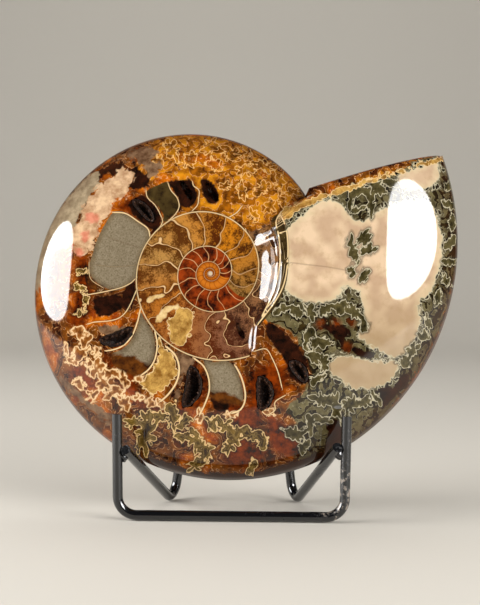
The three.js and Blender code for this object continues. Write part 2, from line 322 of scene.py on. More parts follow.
# What the front face shows. A zone's place in the list varies its folds, so new ones go to the end.
FRONT_ZONES = (
    Zone(Kind.GOLD, ((150, 143), (175, 134), (210, 131), (250, 140), (286, 162), (308, 197), (288, 207),
        (272, 218), (268, 240), (255, 238), (240, 222), (222, 212), (200, 211), (184, 214), (178, 200),
        (170, 183), (150, 182), (138, 172), (136, 156))),
    Zone(Kind.MAUVE, ((114, 162), (126, 153), (140, 147), (152, 145), (157, 153), (153, 159), (161, 164),
        (158, 173), (150, 178), (144, 166), (135, 160)), 5, 1.5),
    Zone(Kind.UMBER, ((86, 189), (92, 178), (100, 169), (112, 164), (123, 163), (120, 172), (113, 178),
        (108, 172), (101, 180), (95, 185)), 5, 1.5),
    Zone(Kind.UMBER, ((132, 160), (140, 170), (150, 176), (148, 186), (136, 190), (128, 186), (134, 176)),
        5, 2),
    Zone(Kind.RUST, ((96, 171), (103, 170), (105, 176), (99, 179))),
    Zone(Kind.RUST, ((115, 210), (118, 203), (130, 198), (140, 197), (140, 206), (133, 213), (140, 221),
        (128, 214))),
    Zone(Kind.SAND, ((90, 194), (101, 184), (110, 178), (117, 170), (126, 168), (134, 174), (132, 182),
        (128, 188), (130, 195), (122, 199), (112, 203), (112, 210), (104, 222), (98, 232), (92, 246),
        (84, 256), (76, 252), (70, 240), (76, 224), (84, 206)), 5, 1.6),
    Zone(Kind.ASH, ((97, 172), (84, 178), (72, 191), (60, 207), (50, 222), (41, 240), (35, 256), (32, 275),
        (38, 292), (46, 268), (56, 252), (68, 246), (76, 230), (82, 212), (90, 198), (99, 186))),
    Zone(Kind.CORAL, ((86, 214), (92, 213), (99, 215), (98, 222), (90, 223), (85, 219))),
    Zone(Kind.CORAL, ((82, 232), (89, 231), (88, 240), (83, 242))),
    Zone(Kind.CORAL, ((77, 248), (83, 248), (82, 256), (77, 255))),
    Zone(Kind.STONE, ((114, 212), (126, 213), (138, 221), (148, 229), (150, 236), (146, 247), (141, 258),
        (138, 272), (134, 280), (122, 289), (112, 290), (100, 285), (92, 278), (89, 267), (92, 256),
        (97, 240), (105, 224))),
    Zone(Kind.GLASS, ((147, 191), (158, 185), (167.5, 182), (172, 191), (178, 200), (178.5, 208),
        (172, 216), (164, 222), (163, 214), (157, 205), (149, 198))),
    Zone(Kind.UMBER, ((131, 200), (141, 195), (147, 197), (155, 205), (160, 213), (162, 221), (158, 228),
        (150, 229), (140, 221), (132, 213), (129, 206))),
    Zone(Kind.UMBER, ((168, 182), (178, 180), (190, 180), (196, 188), (197, 200), (190, 208), (180, 206),
        (178, 198), (172, 190))),
    Zone(Kind.UMBER, ((201, 180), (210, 180), (218, 190), (218, 202), (208, 203), (202, 192))),
    # left side, chambers 4 to 7
    Zone(Kind.UMBER, ((88, 266), (92, 280), (102, 287), (110, 291), (100, 293), (90, 288), (84, 276))),
    Zone(Kind.UMBER, ((123, 290), (133, 281), (136, 290), (134, 300), (126, 312), (122, 300))),
    Zone(Kind.UMBER, ((94, 300), (104, 296), (118, 294), (124, 299), (123, 307), (117, 313), (106, 316),
        (97, 315))),
    Zone(Kind.MAUVE, ((98, 328), (108, 326), (118, 325), (124, 326), (122, 334), (112, 338), (102, 334))),
    Zone(Kind.STONE, ((141, 312), (144, 318), (152, 331), (155, 343), (154, 357), (149, 366), (140, 372),
        (126, 370), (114, 362), (112, 354), (122, 349), (132, 339), (138, 325))),
    Zone(Kind.AGATE, ((158, 338), (164, 347), (172, 354), (176, 364), (174, 378), (166, 389), (156, 394),
        (146, 391), (142, 383), (148, 375), (155, 366), (159, 352)), 4, 0.8),
    Zone(Kind.MAUVE, ((178, 353), (190, 356), (196, 361), (188, 372), (180, 390), (178, 403), (174, 401),
        (176, 390), (180, 378), (179, 366))),
    Zone(Kind.RUST, ((190, 358), (200, 364), (206, 376), (207, 392), (203, 404), (198, 411), (190, 405),
        (200, 392), (201, 378), (196, 366))),
    Zone(Kind.STONE, ((204, 361), (214, 362), (226, 361), (234, 366), (240, 378), (243, 390), (242, 402),
        (232, 400), (222, 396), (210, 391), (209, 378))),
    Zone(Kind.UMBER, ((212, 392), (226, 398), (230, 404), (226, 412), (216, 411), (211, 402))),
    Zone(Kind.RUST, ((247, 384), (252, 372), (266, 364), (284, 366), (288, 380), (284, 396), (272, 404),
        (258, 412), (247, 409), (249, 396))),
    Zone(Kind.UMBER, ((268, 322), (278, 328), (292, 340), (305, 356), (308, 372), (302, 384), (291, 376),
        (284, 360), (274, 346), (266, 334))),
    # fern frills of the lower left
    *(Fan(Kind.FERN, *fan) for fan in ( (79, 332, 8, 6), (86, 342, 8, 7), (80, 353, 9, 7), (73, 361, 7, 6),
        (66, 350, 5, 5), (97, 368, 9, 7), (110, 373, 8, 7), (123, 378, 8, 7), (103, 383, 9, 7),
        (113, 393, 9, 7), (124, 403, 8, 7), (80, 384, 7, 6), (92, 396, 7, 6), (97, 352, 5, 5),
        (140, 398, 6, 5), (151, 403, 5, 5), (88, 366, 6, 5), (139, 379, 5, 5), (161, 404, 6, 5),
        (199, 416, 6, 5), (230, 415, 6, 5), (270, 412, 5, 5))),
    Zone(Kind.RUST, ((77, 256), (87, 256), (90, 270), (92, 290), (91, 310), (84, 324), (74, 328),
        (68, 320), (74, 298), (76, 276))),
    Zone(Kind.RUST, ((72, 368), (82, 366), (92, 374), (94, 386), (84, 394), (70, 380))),
    Zone(Kind.RUST, ((104, 352), (116, 360), (130, 374), (138, 380), (140, 392), (150, 400), (160, 404),
        (170, 410), (150, 412), (130, 398), (112, 372))),
    Zone(Kind.MAUVE, ((58, 374), (68, 382), (84, 395), (98, 406), (111, 414), (109, 424), (94, 414),
        (78, 399), (64, 386))),
    # bottom of the last whorl
    Zone(Kind.RUST, ((126, 400), (150, 405), (175, 415), (205, 408), (226, 412), (232, 430), (222, 452),
        (228, 466), (256, 466), (266, 452), (250, 440), (262, 420), (252, 408), (232, 402), (190, 408),
        (150, 398))),
    *(Fan(Kind.LEAF, *fan) for fan in ( (146, 432, 17, 9), (133, 422, 8, 6), (161, 416, 8, 6),
        (173, 416, 11, 7), (184, 421, 9, 7), (184, 437, 8, 6), (196, 441, 11, 8), (205, 452, 10, 8),
        (196, 465, 9, 7), (212, 424, 8, 6), (225, 427, 11, 8), (236, 435, 10, 7), (229, 446, 8, 6),
        (250, 434, 10, 8), (262, 441, 9, 7), (252, 467, 7, 6), (84, 272, 6, 6), (80, 288, 6, 6),
        (86, 301, 6, 6), (79, 313, 6, 6))),
    *(Fan(Kind.LOBE, *fan) for fan in ( (156, 160, 8, 7), (172, 150, 10, 8), (190, 160, 9, 7),
        (210, 147, 9, 8), (214, 164, 8, 7), (231, 154, 10, 8), (249, 149, 8, 7), (246, 170, 9, 8),
        (264, 166, 9, 8), (279, 180, 9, 8), (262, 188, 9, 7), (292, 192, 7, 7), (242, 190, 8, 7),
        (270, 206, 7, 6), (226, 186, 7, 6), (254, 214, 7, 6), (283, 202, 6, 6))),
    Zone(Kind.RUST, ((268, 414), (280, 420), (296, 436), (302, 450), (290, 458), (276, 452), (268, 440))),
    Zone(Kind.UMBER, ((140, 455), (170, 472), (210, 481), (250, 481), (290, 474), (330, 458), (330, 450),
        (290, 463), (250, 472), (210, 473), (170, 463))),
    # body chamber
    Zone(Kind.KHAKI, ((262, 318), (276, 300), (284, 270), (284, 226), (300, 205), (370, 182), (440, 158),
        (458, 230), (452, 290), (430, 350), (390, 410), (350, 444), (310, 462), (290, 452), (300, 430),
        (286, 408), (300, 396), (310, 376), (304, 350), (288, 330))),
    Zone(Kind.PORCELAIN, ((286, 232), (300, 218), (316, 204), (332, 199), (344, 206), (350, 216),
        (362, 222), (374, 214), (392, 206), (410, 200), (432, 204), (442, 240), (440, 268), (430, 292),
        (420, 302), (421, 320), (416, 340), (404, 354), (392, 357), (378, 350), (364, 342), (358, 336),
        (364, 322), (362, 306), (358, 292), (346, 286), (338, 296), (326, 303), (312, 303), (296, 298),
        (284, 290), (287, 262)), 9, 2),
    Zone(Kind.PORCELAIN, ((329, 363), (341, 355), (360, 358), (382, 361), (399, 362), (396, 374),
        (384, 384), (368, 390), (350, 387), (338, 379), (330, 372)), 9, 2),
    Zone(Kind.PORCELAIN, ((396, 184), (404, 172), (420, 166), (434, 160), (440, 175), (430, 188),
        (412, 190)), 9, 2),
    Zone(Kind.RUST, ((316, 320), (324, 319), (322, 328), (316, 327))),
    Zone(Kind.RUST, ((334, 320), (340, 322), (338, 328), (333, 326))),
    Zone(Kind.RUST, ((348, 320), (355, 320), (352, 326))),
    Zone(Kind.RUST, ((345, 344), (352, 346), (350, 352), (344, 350))),
    Zone(Kind.UMBER, ((322, 324), (334, 326), (346, 326), (350, 332), (344, 340), (342, 348), (338, 340),
        (326, 330)), 4, 1),
    Zone(Kind.UMBER, ((352, 348), (364, 350), (374, 356), (366, 358), (356, 355))),
    Zone(Kind.UMBER, ((375, 384), (388, 378), (404, 374), (410, 378), (396, 396), (382, 408), (376, 396)),
        4, 1),
    Zone(Kind.UMBER, ((326, 420), (340, 420), (344, 436), (336, 450), (324, 456), (328, 436)), 5, 1),
    Zone(Kind.GOLD, ((282, 210), (306, 199), (374, 175), (440, 155), (444, 162), (400, 172), (350, 190),
        (316, 202), (296, 214), (284, 224))),
    *(Fan(Kind.FRILL, *fan) for fan in ( (352, 196, 9, 7), (364, 190, 9, 7), (378, 188, 9, 7),
        (371, 203, 9, 7), (358, 210, 7, 6), (391, 183, 7, 6), (352, 247, 9, 7), (364, 238, 9, 7),
        (368, 250, 8, 7), (355, 258, 7, 6), (352, 272, 6, 6), (364, 276, 7, 6), (449, 186, 6, 6),
        (450, 205, 7, 6), (452, 224, 7, 6), (450, 243, 7, 6), (451, 262, 7, 6), (446, 281, 7, 6),
        (438, 298, 7, 6), (282, 309, 8, 7), (296, 311, 8, 7), (310, 312, 8, 7), (325, 310, 8, 7),
        (341, 308, 9, 7), (355, 312, 9, 7), (364, 326, 7, 6), (308, 336, 9, 7), (320, 342, 10, 8),
        (314, 356, 9, 7), (324, 366, 9, 7), (317, 378, 8, 7), (322, 400, 10, 8), (336, 406, 10, 8),
        (350, 404, 10, 8), (364, 402, 9, 7), (376, 398, 7, 6), (404, 362, 8, 7), (413, 350, 8, 7),
        (424, 336, 7, 6), (294, 434, 10, 8), (310, 424, 9, 8), (304, 446, 8, 7), (322, 420, 8, 7),
        (428, 322, 6, 6), (346, 420, 7, 6))),
    Zone(Kind.AGATE, ((168, 322), (178, 310), (188, 308), (194, 316), (190, 330), (186, 344), (178, 346),
        (170, 338)), 9, 1.5),
    Zone(Kind.AGATE, ((284, 209), (306, 200), (340, 188.5), (374, 177), (408, 166), (440, 157), (441, 161),
        (404, 171.5), (372, 182), (345, 192), (318, 201), (298, 211), (284, 219))),
    # painted shade: the stone-filled chambers are darker brown towards their bottoms
    Zone(Kind.CHAMBER_SHADE, ((110, 355), (120, 354), (132, 356), (146, 364), (151, 366), (140, 375), (126, 373),
        (112, 364))),
    Zone(Kind.CHAMBER_SHADE, ((207, 394), (222, 392), (236, 396), (243, 405), (232, 405), (220, 402))),
    Zone(Kind.CHAMBER_SHADE, ((88, 268), (92, 278), (100, 286), (110, 290), (122, 289), (112, 294), (98, 292),
        (88, 282))),
    Zone(Kind.GLASS, ((271, 223), (276, 236), (279, 250), (280.5, 262), (279, 276), (274, 292), (262, 310),
        (256, 321), (259, 325), (276, 306), (286, 284), (288.5, 258), (287, 236), (282, 217), (276, 215))),
    Zone(Kind.CREAM, ((147, 300), (153, 295), (164, 294), (163, 297), (155, 299), (150, 303))),
    Zone(Kind.CREAM, ((155, 321), (160, 312), (166, 307), (178, 305), (177, 309), (168, 312), (164, 319),
        (157, 323))),
)

# The inner whorls' spiral wall: logarithm of its radius in mm, growth to the radian, and its wave
COIL_START, COIL_GROWTH, COIL_WAVE, COIL_WAVE_PEAK = 1.1434, 0.1299, 0.0357, 1.9901


def coil_wall(angle: np.ndarray) -> np.ndarray:
    """Work out the radius of the inner whorls' wall.

    Args:
        angle: angles in radians, which go on from turn to turn.

    Returns:
        The radii in mm.
    """
    return np.exp(COIL_START + COIL_GROWTH * angle + COIL_WAVE * np.cos(angle - COIL_WAVE_PEAK))


def coil_outline() -> np.ndarray:
    """Outline the inner whorls in the picture: their wall on the left, the roll's foot on the right.

    Returns:
        Array of points on the outline, in pixels.
    """
    angle = np.radians(np.arange(780, 1020, 6))
    reach = coil_wall(angle)[:, None] / MM_PER_PIXEL
    wall = COIL_PIXEL + reach * np.column_stack([np.cos(angle), -np.sin(angle)])
    foot = ((253, 348), (254, 335), (255, 325), (262, 316), (270, 306), (276, 292), (279, 276), (280, 262),
            (279, 250), (276, 236), (270, 224), (262, 228), (252, 232))
    return np.vstack([wall, foot])


# Cream lines of the septa: half the width of each in mm, where less than nothing leaves a faint line,
# and its points from the inner whorl outwards, in pixels of the picture
SEPTA = (
    (0.05, (146, 190.4), (147.6, 197.7), (155, 205), (160, 213.9), (162.6, 221), (160, 227)),
    (0.06, (168, 183), (171, 190.4), (177, 197.7), (179.2, 206.5), (175.5, 213.9), (169.6, 219.8)),
    (0.06, (192.4, 181.6), (193.8, 186), (199, 190.4), (198.7, 197.7), (197.5, 205), (193, 210)),
    (0.06, (241.5, 206.5), (237, 212.4), (229.8, 216.8)),
    (0.12, (114, 212.4), (125.6, 213.5), (137.4, 221), (147.6, 228.5), (149.8, 236)),
    (-0.1, (108, 237.4), (122.7, 242.5), (137.4, 247)),
    (-0.08, (96.3, 265), (115.4, 266.7), (136, 265)),
    (0.0, (89, 262), (90.4, 278.4), (102, 287)),
    (0.07, (85, 295.5), (92, 294), (103, 292), (120, 288), (130, 283.5), (135, 279)),
    (0.07, (88, 324), (95, 322), (108, 321), (118, 318.5), (125, 313), (130, 305), (134, 296), (136.5, 290)),
    (0.14, (140.3, 309), (137.4, 322), (131.5, 336.7), (122.7, 345.8), (114, 349.5), (106.5, 350.8)),
    (0.16, (155, 332), (157.2, 344), (155, 358.7), (149.1, 368.9), (141.8, 374.8)),
    (0.2, (166.7, 346.9), (175.5, 355.7), (179.2, 368.9), (176.5, 382), (169, 393.5), (160.8, 401.2)),
    (0.16, (194.6, 358.7), (203.4, 366), (208.5, 377.7), (209.2, 390.9), (204.8, 404.2), (199.7, 414.4)),
    (0.18, (235.6, 366), (241.5, 377.7), (245.2, 392.4), (244.4, 402.7), (240, 410), (232.7, 413)),
    (0.06, (255, 351), (266, 349), (272, 358), (278, 372), (282, 388)),
    (0.08, (284, 396), (275, 402), (275, 410), (268, 415)),
    (-0.1, (286, 262), (306, 264.5), (328, 267), (350, 271)),
    (0.12, (281, 212), (276, 222), (279, 238), (280, 262), (274, 290), (262, 316)),
    (0.12, (280, 214), (286, 228), (288, 252), (285, 280), (276, 300), (258, 324)),
)


@dataclass(frozen=True)
class Pit:
    """An open chamber in a flank: its place in mm and degrees, and its hollow's size in mm.

    The hollow is a lens, bowed to one side, and its lip has nine broad and seventeen small teeth, as
    high as a share of its size.
    """

    u: float
    v: float
    turn: float
    length: float
    width: float
    depth: float
    bend: float
    crystals: bool = True
    broad_teeth: float = 0.05
    small_teeth: float = 0.03

    def wall(self, x: Numbers, y: Numbers, z: Numbers, inset: float = 0.0, ragged: float = 1.0) -> tuple:
        """Find points of the hollow's wall, in the pit's own frame.

        Args:
            x: first part of a direction, or of many.
            y: second part of it.
            z: third part of it.
            inset: how far inside the wall the points lie, in mm.
            ragged: how far the lip bulges there, as a factor.

        Returns:
            The points' three coordinates in mm.
        """
        return (x * (self.length / 2 - inset) * ragged,
                y * (self.width / 2 - inset) * ragged + self.bend * (1 - x * x), z * (self.depth - inset))

    def ragged(self, x: float, y: float) -> float:
        """Work out how far the lip bulges.

        Args:
            x: first part of a direction.
            y: second part of it.

        Returns:
            The bulge, as a factor near one.
        """
        angle = math.atan2(y, x)
        return 1 + self.broad_teeth * math.sin(9 * angle + self.u) + self.small_teeth * math.sin(17 * angle)


FRONT_PITS = (
    Pit(-22.4, 20.9, -46, 10.5, 4.2, 4.5, 0.5),
    Pit(-8.5, 28.0, -59, 7.5, 2.4, 3, 0.3, False),
    Pit(0.2, 27.6, -57, 7.5, 2.8, 3, -0.3, False),
    Pit(-30.3, -20.2, 22, 12, 5, 5, -1.6),
    Pit(-6.6, -37, 80, 14, 6, 6, -1.8),
    Pit(17, -38.8, 92, 11.5, 6, 5.5, -1.2),
    Pit(28.7, -31.9, -52, 9, 4.8, 4.5, 0.6),
    Pit(10, -18.5, -66, 7.5, 2, 2.5, 0, False),
)
BACK_PITS = (
    Pit(-28, -20, 35, 12, 5, 5, -1.4),
    Pit(9, -39, 95, 12, 5.5, 5, -1.4),
    Pit(-16, 26, -40, 8, 2.6, 3, 0.4, False),
)


def to_row(u: np.ndarray, v: np.ndarray, w: np.ndarray) -> np.ndarray:
    """Bring points of the shell's own frame into the row frame.

    Args:
        u: how far the points lie to the right of the coil centre, in mm.
        v: how far they lie above it.
        w: how far they stand out of the middle plane, towards the front.

    Returns:
        Array of points in mm.
    """
    across, upward, outward = (np.multiply.outer(*pair) for pair in ((u, ACROSS), (v, UPWARD), (w, OUTWARD)))
    return COIL_CENTRE + across + upward + outward


def select(*pieces: Object) -> None:
    """Select these pieces and nothing else, and make the last one active.

    Args:
        *pieces: the pieces. None at all leaves nothing selected.
    """
    bpy.ops.object.select_all(action="DESELECT")
    for piece in pieces:
        piece.select_set(True)
        bpy.context.view_layer.objects.active = piece


def cut(piece: Object, cutter: Object) -> None:
    """Subtract one closed mesh from another, and delete the cutter.

    Args:
        piece: what is cut.
        cutter: the hollow's shape.
    """
    modifier = piece.modifiers.new("hollow", "BOOLEAN")
    modifier.operation = "DIFFERENCE"
    modifier.solver = "EXACT"
    modifier.object = cutter
    select(piece)
    bpy.ops.object.modifier_apply(modifier=modifier.name)
    bpy.data.objects.remove(cutter)


def places(mesh: Mesh) -> np.ndarray:
    """Read where a mesh's vertices are.

    Args:
        mesh: the mesh.

    Returns:
        Array of points.
    """
    flat = np.empty(len(mesh.vertices) * 3, np.float32)
    mesh.vertices.foreach_get("co", flat)
    return flat.reshape(-1, 3).astype(float)


def store(mesh: Mesh, name: str, values: np.ndarray) -> None:
    """Store numbers or vectors as an attribute of a mesh's vertices.

    Args:
        mesh: the mesh.
        name: the attribute's name.
        values: array with one row for each vertex.
    """
    kind, slot = ("FLOAT_VECTOR", "vector") if values.ndim == 2 else ("FLOAT", "value")
    layer = mesh.attributes.new(name, kind, "POINT")
    layer.data.foreach_set(slot, values.astype(np.float32).ravel())


@dataclass
class Shell:
    """The polished ammonite. Lengths are in mm and turns in degrees, and both agree with the solid's."""

    # the outline: a spiral with one wave to the turn
    rim_radius: float = 42.3
    rim_turn: float = 40.0
    growth: float = 0.772
    wave: float = 0.0556
    wave_peak: float = 128.0
    # the straight cut of the aperture, and the round edge beside it
    cut_start: float = 41.8
    cut_end: float = 389.1
    cut_tilt: float = math.radians(18)
    cut_offset: float = 17.2
    edge_radius: float = 3.2
    # half the thickness: of the last whorl where it starts, what it gains, of the coil and of the keel
    start_half: float = 11.5
    half_gain: float = 6.1
    gain_turn: float = 350.0
    gain_power: float = 1.3
    coil_half: float = 10.5
    keel_half: float = 1.1
    # how the flank rises from the rim: over which share of the radius, and how full it is
    flank_reach: float = 0.42
    flank_power: float = 0.62
    # the bowl round the coil, and where its side ends on the young flank, the older one and by the cut
    bowl_radius: float = 14.5
    shoulders: tuple = (34.0, 27.0, 31.0)
    shoulder_turns: tuple = ((250.0, 330.0), (372.0, 402.0))
    # how far round the older whorl the seam's edge is softened, and from where on a point is behind
    seam_soft: float = -0.15
    behind: float = -0.3
    # the low roll along the coil's right side, and how far the back's markings are turned
    roll_height: float = 0.9
    roll_half: float = 4.2
    back_turn: float = math.radians(-14)
    # the mesh: cells to a side, layers of the rim, how much closer the cells lie there, how round it
    # is, how far a thin rim is drawn in, and how fine the hollows are
    grid: int = 212
    rim_layers: int = 4
    crowding: float = 0.12
    rim_round: float = 0.1
    rim_tuck: float = 0.35
    thin_rim: float = 2.0
    pit_segments: int = 40
    smooth_angle: float = math.radians(38)

    def rim(self, turn: Numbers) -> Numbers:
        """Work out the outline's radius at a turn of the spiral.

        Args:
            turn: the turn, which goes on past 360.

        Returns:
            The radius.
        """
        swell = self.wave * np.cos(np.radians(turn - self.wave_peak))
        return self.rim_radius * np.exp(self.growth * (turn - self.rim_turn) / 360 + swell)

    def whorl_height(self, radius: Numbers, turn: Numbers) -> Numbers:
        """Work out the flank's height over the middle plane.

        Args:
            radius: distance from the coil centre.
            turn: the turn of the spiral that the whorl belongs to.

        Returns:
            The height.
        """
        grown = np.clip((turn - self.rim_turn) / self.gain_turn, 0, 1) ** self.gain_power
        thickness = self.start_half + self.half_gain * grown
        rim = self.rim(turn)
        inset = np.clip((rim - radius) / (self.flank_reach * rim), 0, 1)
        ogive = self.keel_half + (thickness - self.keel_half) * (1 - (1 - inset) ** 2) ** self.flank_power
        shoulder = self.shoulders[0]
        for before, after, turns in zip(self.shoulders, self.shoulders[1:], self.shoulder_turns):
            shoulder = shoulder + (after - before) * smoothstep(turn, *turns)
        return self.coil_half + (ogive - self.coil_half) * smoothstep(radius, self.bowl_radius, shoulder)

    def height(self, u: np.ndarray, v: np.ndarray) -> np.ndarray:
        """Work out the flank's height at points of the middle plane, with the last whorl's rounded end.

        Args:
            u: how far the points lie to the right of the coil centre.
            v: how far they lie above it.

        Returns:
            The heights.
        """
        radius = np.hypot(u, v)
        angle = np.degrees(np.arctan2(v, u)) % 360
        body = self.whorl_height(radius, angle + 360)
        on_older = radius < self.rim(self.cut_start) - 1e-6
        free = self.cut_offset + u * math.sin(self.cut_tilt) - v * math.cos(self.cut_tilt)
        seam = radius * np.sin(math.radians(self.cut_start) - np.arctan2(v, u))
        inset = np.clip(np.where(on_older, seam, free) / self.edge_radius, 0, 1)
        edge = np.where(on_older, smoothstep(inset, self.seam_soft, 1), np.sqrt(1 - (1 - inset) ** 2))
        foot = np.where(on_older, self.whorl_height(radius, self.cut_start), body - self.edge_radius)
        young = angle > self.cut_start - 1e-4
        return np.where(young, self.whorl_height(radius, angle), foot + (body - foot) * edge)

    def drawn_at(self, u: np.ndarray, v: np.ndarray, w: np.ndarray) -> np.ndarray:
        """Find where points take their markings from. The back's are turned round the coil.

        Args:
            u: how far the points lie to the right of the coil centre.
            v: how far they lie above it.
            w: how far they stand out of the middle plane. It is negative at the back.

        Returns:
            Array of places in the picture, in pixels.
        """
        picture = to_picture(to_row(u, v, np.abs(w)))
        cos, sin = math.cos(self.back_turn), math.sin(self.back_turn)
        turned = (picture - COIL_PIXEL) @ np.array([[cos, sin], [-sin, cos]]) + COIL_PIXEL
        return np.where((w < self.behind)[:, None], turned, picture)

    def roll(self, u: np.ndarray, v: np.ndarray, w: np.ndarray) -> np.ndarray:
        """Work out the low roll on the last whorl's inner edge, which the polishing felt has rounded.

        Args:
            u: how far the points lie to the right of the coil centre.
            v: how far they lie above it.
            w: how far they stand out of the middle plane.

        Returns:
            The roll's height.
        """
        spot = self.drawn_at(u, v, w)
        away = np.abs(inside_distance(spot, coil_outline())) * MM_PER_PIXEL
        across = (spot[:, 0] - COIL_PIXEL[0]) * MM_PER_PIXEL
        return self.roll_height * smoothstep(-away, -self.roll_half, 0) * smoothstep(across, *SEAM_ENDS)

    def outline_radius(self, angle: np.ndarray) -> np.ndarray:
        """Work out the outline's radius, with the cut face.

        Args:
            angle: angles round the coil centre.

        Returns:
            The radii.
        """
        spiral = self.rim(np.where(angle < self.cut_start - 1e-4, angle + 360, angle))
        start, end = (self.rim(turn) * np.array([math.cos(math.radians(turn)), math.sin(math.radians(turn))])
                      for turn in (self.cut_start, self.cut_end))
        run = end - start
        rad = np.radians(angle)
        straight = (start[0] * run[1] - start[1] * run[0]) / (run[1] * np.cos(rad) - run[0] * np.sin(rad))
        on_cut = (angle > self.cut_end - 360) & (angle < self.cut_start)
        return np.where(on_cut, straight, spiral)

    def plate(self) -> Object:
        """Lay the plate of square cells that becomes the shell, folded up at its rim in a few layers.

        Returns:
            The plate, two units wide, with a unit from one layer to the next.
        """
        select()
        bpy.ops.mesh.primitive_grid_add(x_subdivisions=self.grid, y_subdivisions=self.grid, size=2)
        plate = bpy.context.object
        plate.name = "ammonite_shell"
        bpy.ops.object.mode_set(mode="EDIT")
        for _ in range(self.rim_layers):
            bpy.ops.mesh.extrude_region_move(TRANSFORM_OT_translate={"value": (0, 0, 1)})
        bpy.ops.object.mode_set(mode="OBJECT")
        return plate

    def build(self) -> Object:
        """Make the shell's mesh: each square ring of the plate is laid out as a ring round the coil.

        Returns:
            The shell as an object.
        """
        shell = self.plate()
        mesh = shell.data
        x, y, layer = places(mesh).T
        reach = np.maximum(np.abs(x), np.abs(y))
        wide = np.abs(x) >= np.abs(y)
        safe_x, safe_y = np.where(x == 0, 1, x), np.where(y == 0, 1, y)
        sideways = 45 * y / safe_x + np.where(x < 0, 180, 0)
        turn = np.where(wide, sideways, 90 - 45 * x / safe_y + np.where(y < 0, 180, 0))
        angle = (turn + self.cut_start) % 360
        angle[np.abs(angle - self.cut_start) < 1e-3] = self.cut_start
        level = 2 * layer / self.rim_layers - 1
        at_rim = reach > 1 - 1e-5
        rim = self.outline_radius(angle)
        radius = rim * (reach * (1 + self.crowding - self.crowding * reach))
        u, v = radius * np.cos(np.radians(angle)), radius * np.sin(np.radians(angle))
        height = self.height(u, v)
        tuck = np.where(at_rim, self.rim_tuck * level**2 * np.clip(self.thin_rim - height, 0, 1), 0)
        u, v = u * (1 - tuck / rim), v * (1 - tuck / rim)
        w = height * np.where(at_rim, level * (1 - self.rim_round * level**2), np.sign(level))
        w = w + np.sign(level) * self.roll(u, v, w)
        mesh.vertices.foreach_set("co", (to_row(u, v, w) * MM).astype(np.float32).ravel())
        mesh.update()
        bpy.ops.object.mode_set(mode="EDIT")
        bpy.ops.mesh.select_all(action="SELECT")
        bpy.ops.mesh.normals_make_consistent(inside=False)
        bpy.ops.object.mode_set(mode="OBJECT")
        return shell

    def pit_place(self, pit: Pit, side: int) -> Matrix:
        """Find where a pit's own frame stands.

        Args:
            pit: the pit.
            side: 1 on the front flank, -1 on the back one.

        Returns:
            Matrix, in mm, from the pit's own frame to the row frame.
        """
        lift = side * float(self.height(np.array(pit.u), np.array(pit.v)))
        own = Matrix.Translation((pit.u, pit.v, lift)) @ Matrix.Rotation(math.radians(pit.turn), 4, "Z")
        lean = Matrix.Translation(COIL_CENTRE) @ Matrix.Rotation(math.radians(90) - LEAN, 4, "X")
        return lean @ own

    def carve(self, shell: Object, wall: Material) -> None:
        """Cut the open chambers into both flanks.

        Args:
            shell: the shell's object.
            wall: material of the hollows' walls.
        """
        for side, pits in ((1, FRONT_PITS), (-1, BACK_PITS)):
            for pit in pits:
                select()
                bpy.ops.mesh.primitive_uv_sphere_add(
                    segments=self.pit_segments, ring_count=self.pit_segments // 2, radius=1)
                cutter = bpy.context.object
                place = self.pit_place(pit, side)
                for vertex in cutter.data.vertices:
                    x, y, z = vertex.co
                    vertex.co = (place @ Vector(pit.wall(x, y, z, ragged=pit.ragged(x, y)))) * MM
                cutter.data.materials.append(wall)
                cut(shell, cutter)

    def survey(self, shell: Object) -> None:
        """Write the fields that the markings read as attributes of the shell's vertices, in mm.

        Args:
            shell: the shell's object.
        """
        mesh = shell.data
        away = places(mesh) / MM - COIL_CENTRE
        u, v, w = away @ ACROSS, away @ UPWARD, away @ OUTWARD
        drawn = (to_picture(to_row(u, v, np.abs(w))) - COIL_PIXEL) * (MM_PER_PIXEL, -MM_PER_PIXEL)
        store(mesh, "drawing", np.column_stack([drawn, w]))
        spot = self.drawn_at(u, v, w)
        for kind in Kind:
            distance = np.full(len(u), -FIELD_LIMIT)
            outlines = [zone.outline(number) for number, zone in enumerate(FRONT_ZONES) if zone.kind is kind]
            for outline in [coil_outline()] if kind is Kind.COIL else outlines:
                near = within(spot, outline)
                distance[near] = np.maximum(distance[near], inside_distance(spot[near], outline))
            store(mesh, kind.value, distance * MM_PER_PIXEL)
        # the nearest septum: distance to either side of it, plain distance, and half its line's width
        septum = np.tile([FIELD_LIMIT, FIELD_LIMIT, 0.0], (len(u), 1))
        for half_width, *corners in SEPTA:
            line = rounded(corners, closed=False)
            near = within(spot, line)
            side = line_distance(spot[near], line)
            closer = np.abs(side) < septum[near, 1]
            half = np.full(len(side), half_width / MM_PER_PIXEL)
            septum[near[closer]] = np.column_stack([side, np.abs(side), half])[closer]
        store(mesh, "septum", septum * MM_PER_PIXEL)

    def dress(self, shell: Object) -> None:
        """Smooth the shell's shading and put it in the place of its solid.

        Args:
            shell: the shell's object.
        """
        select(shell)
        bpy.ops.object.shade_smooth_by_angle(angle=self.smooth_angle)
        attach(shell, "root")
        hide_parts("ammonite")


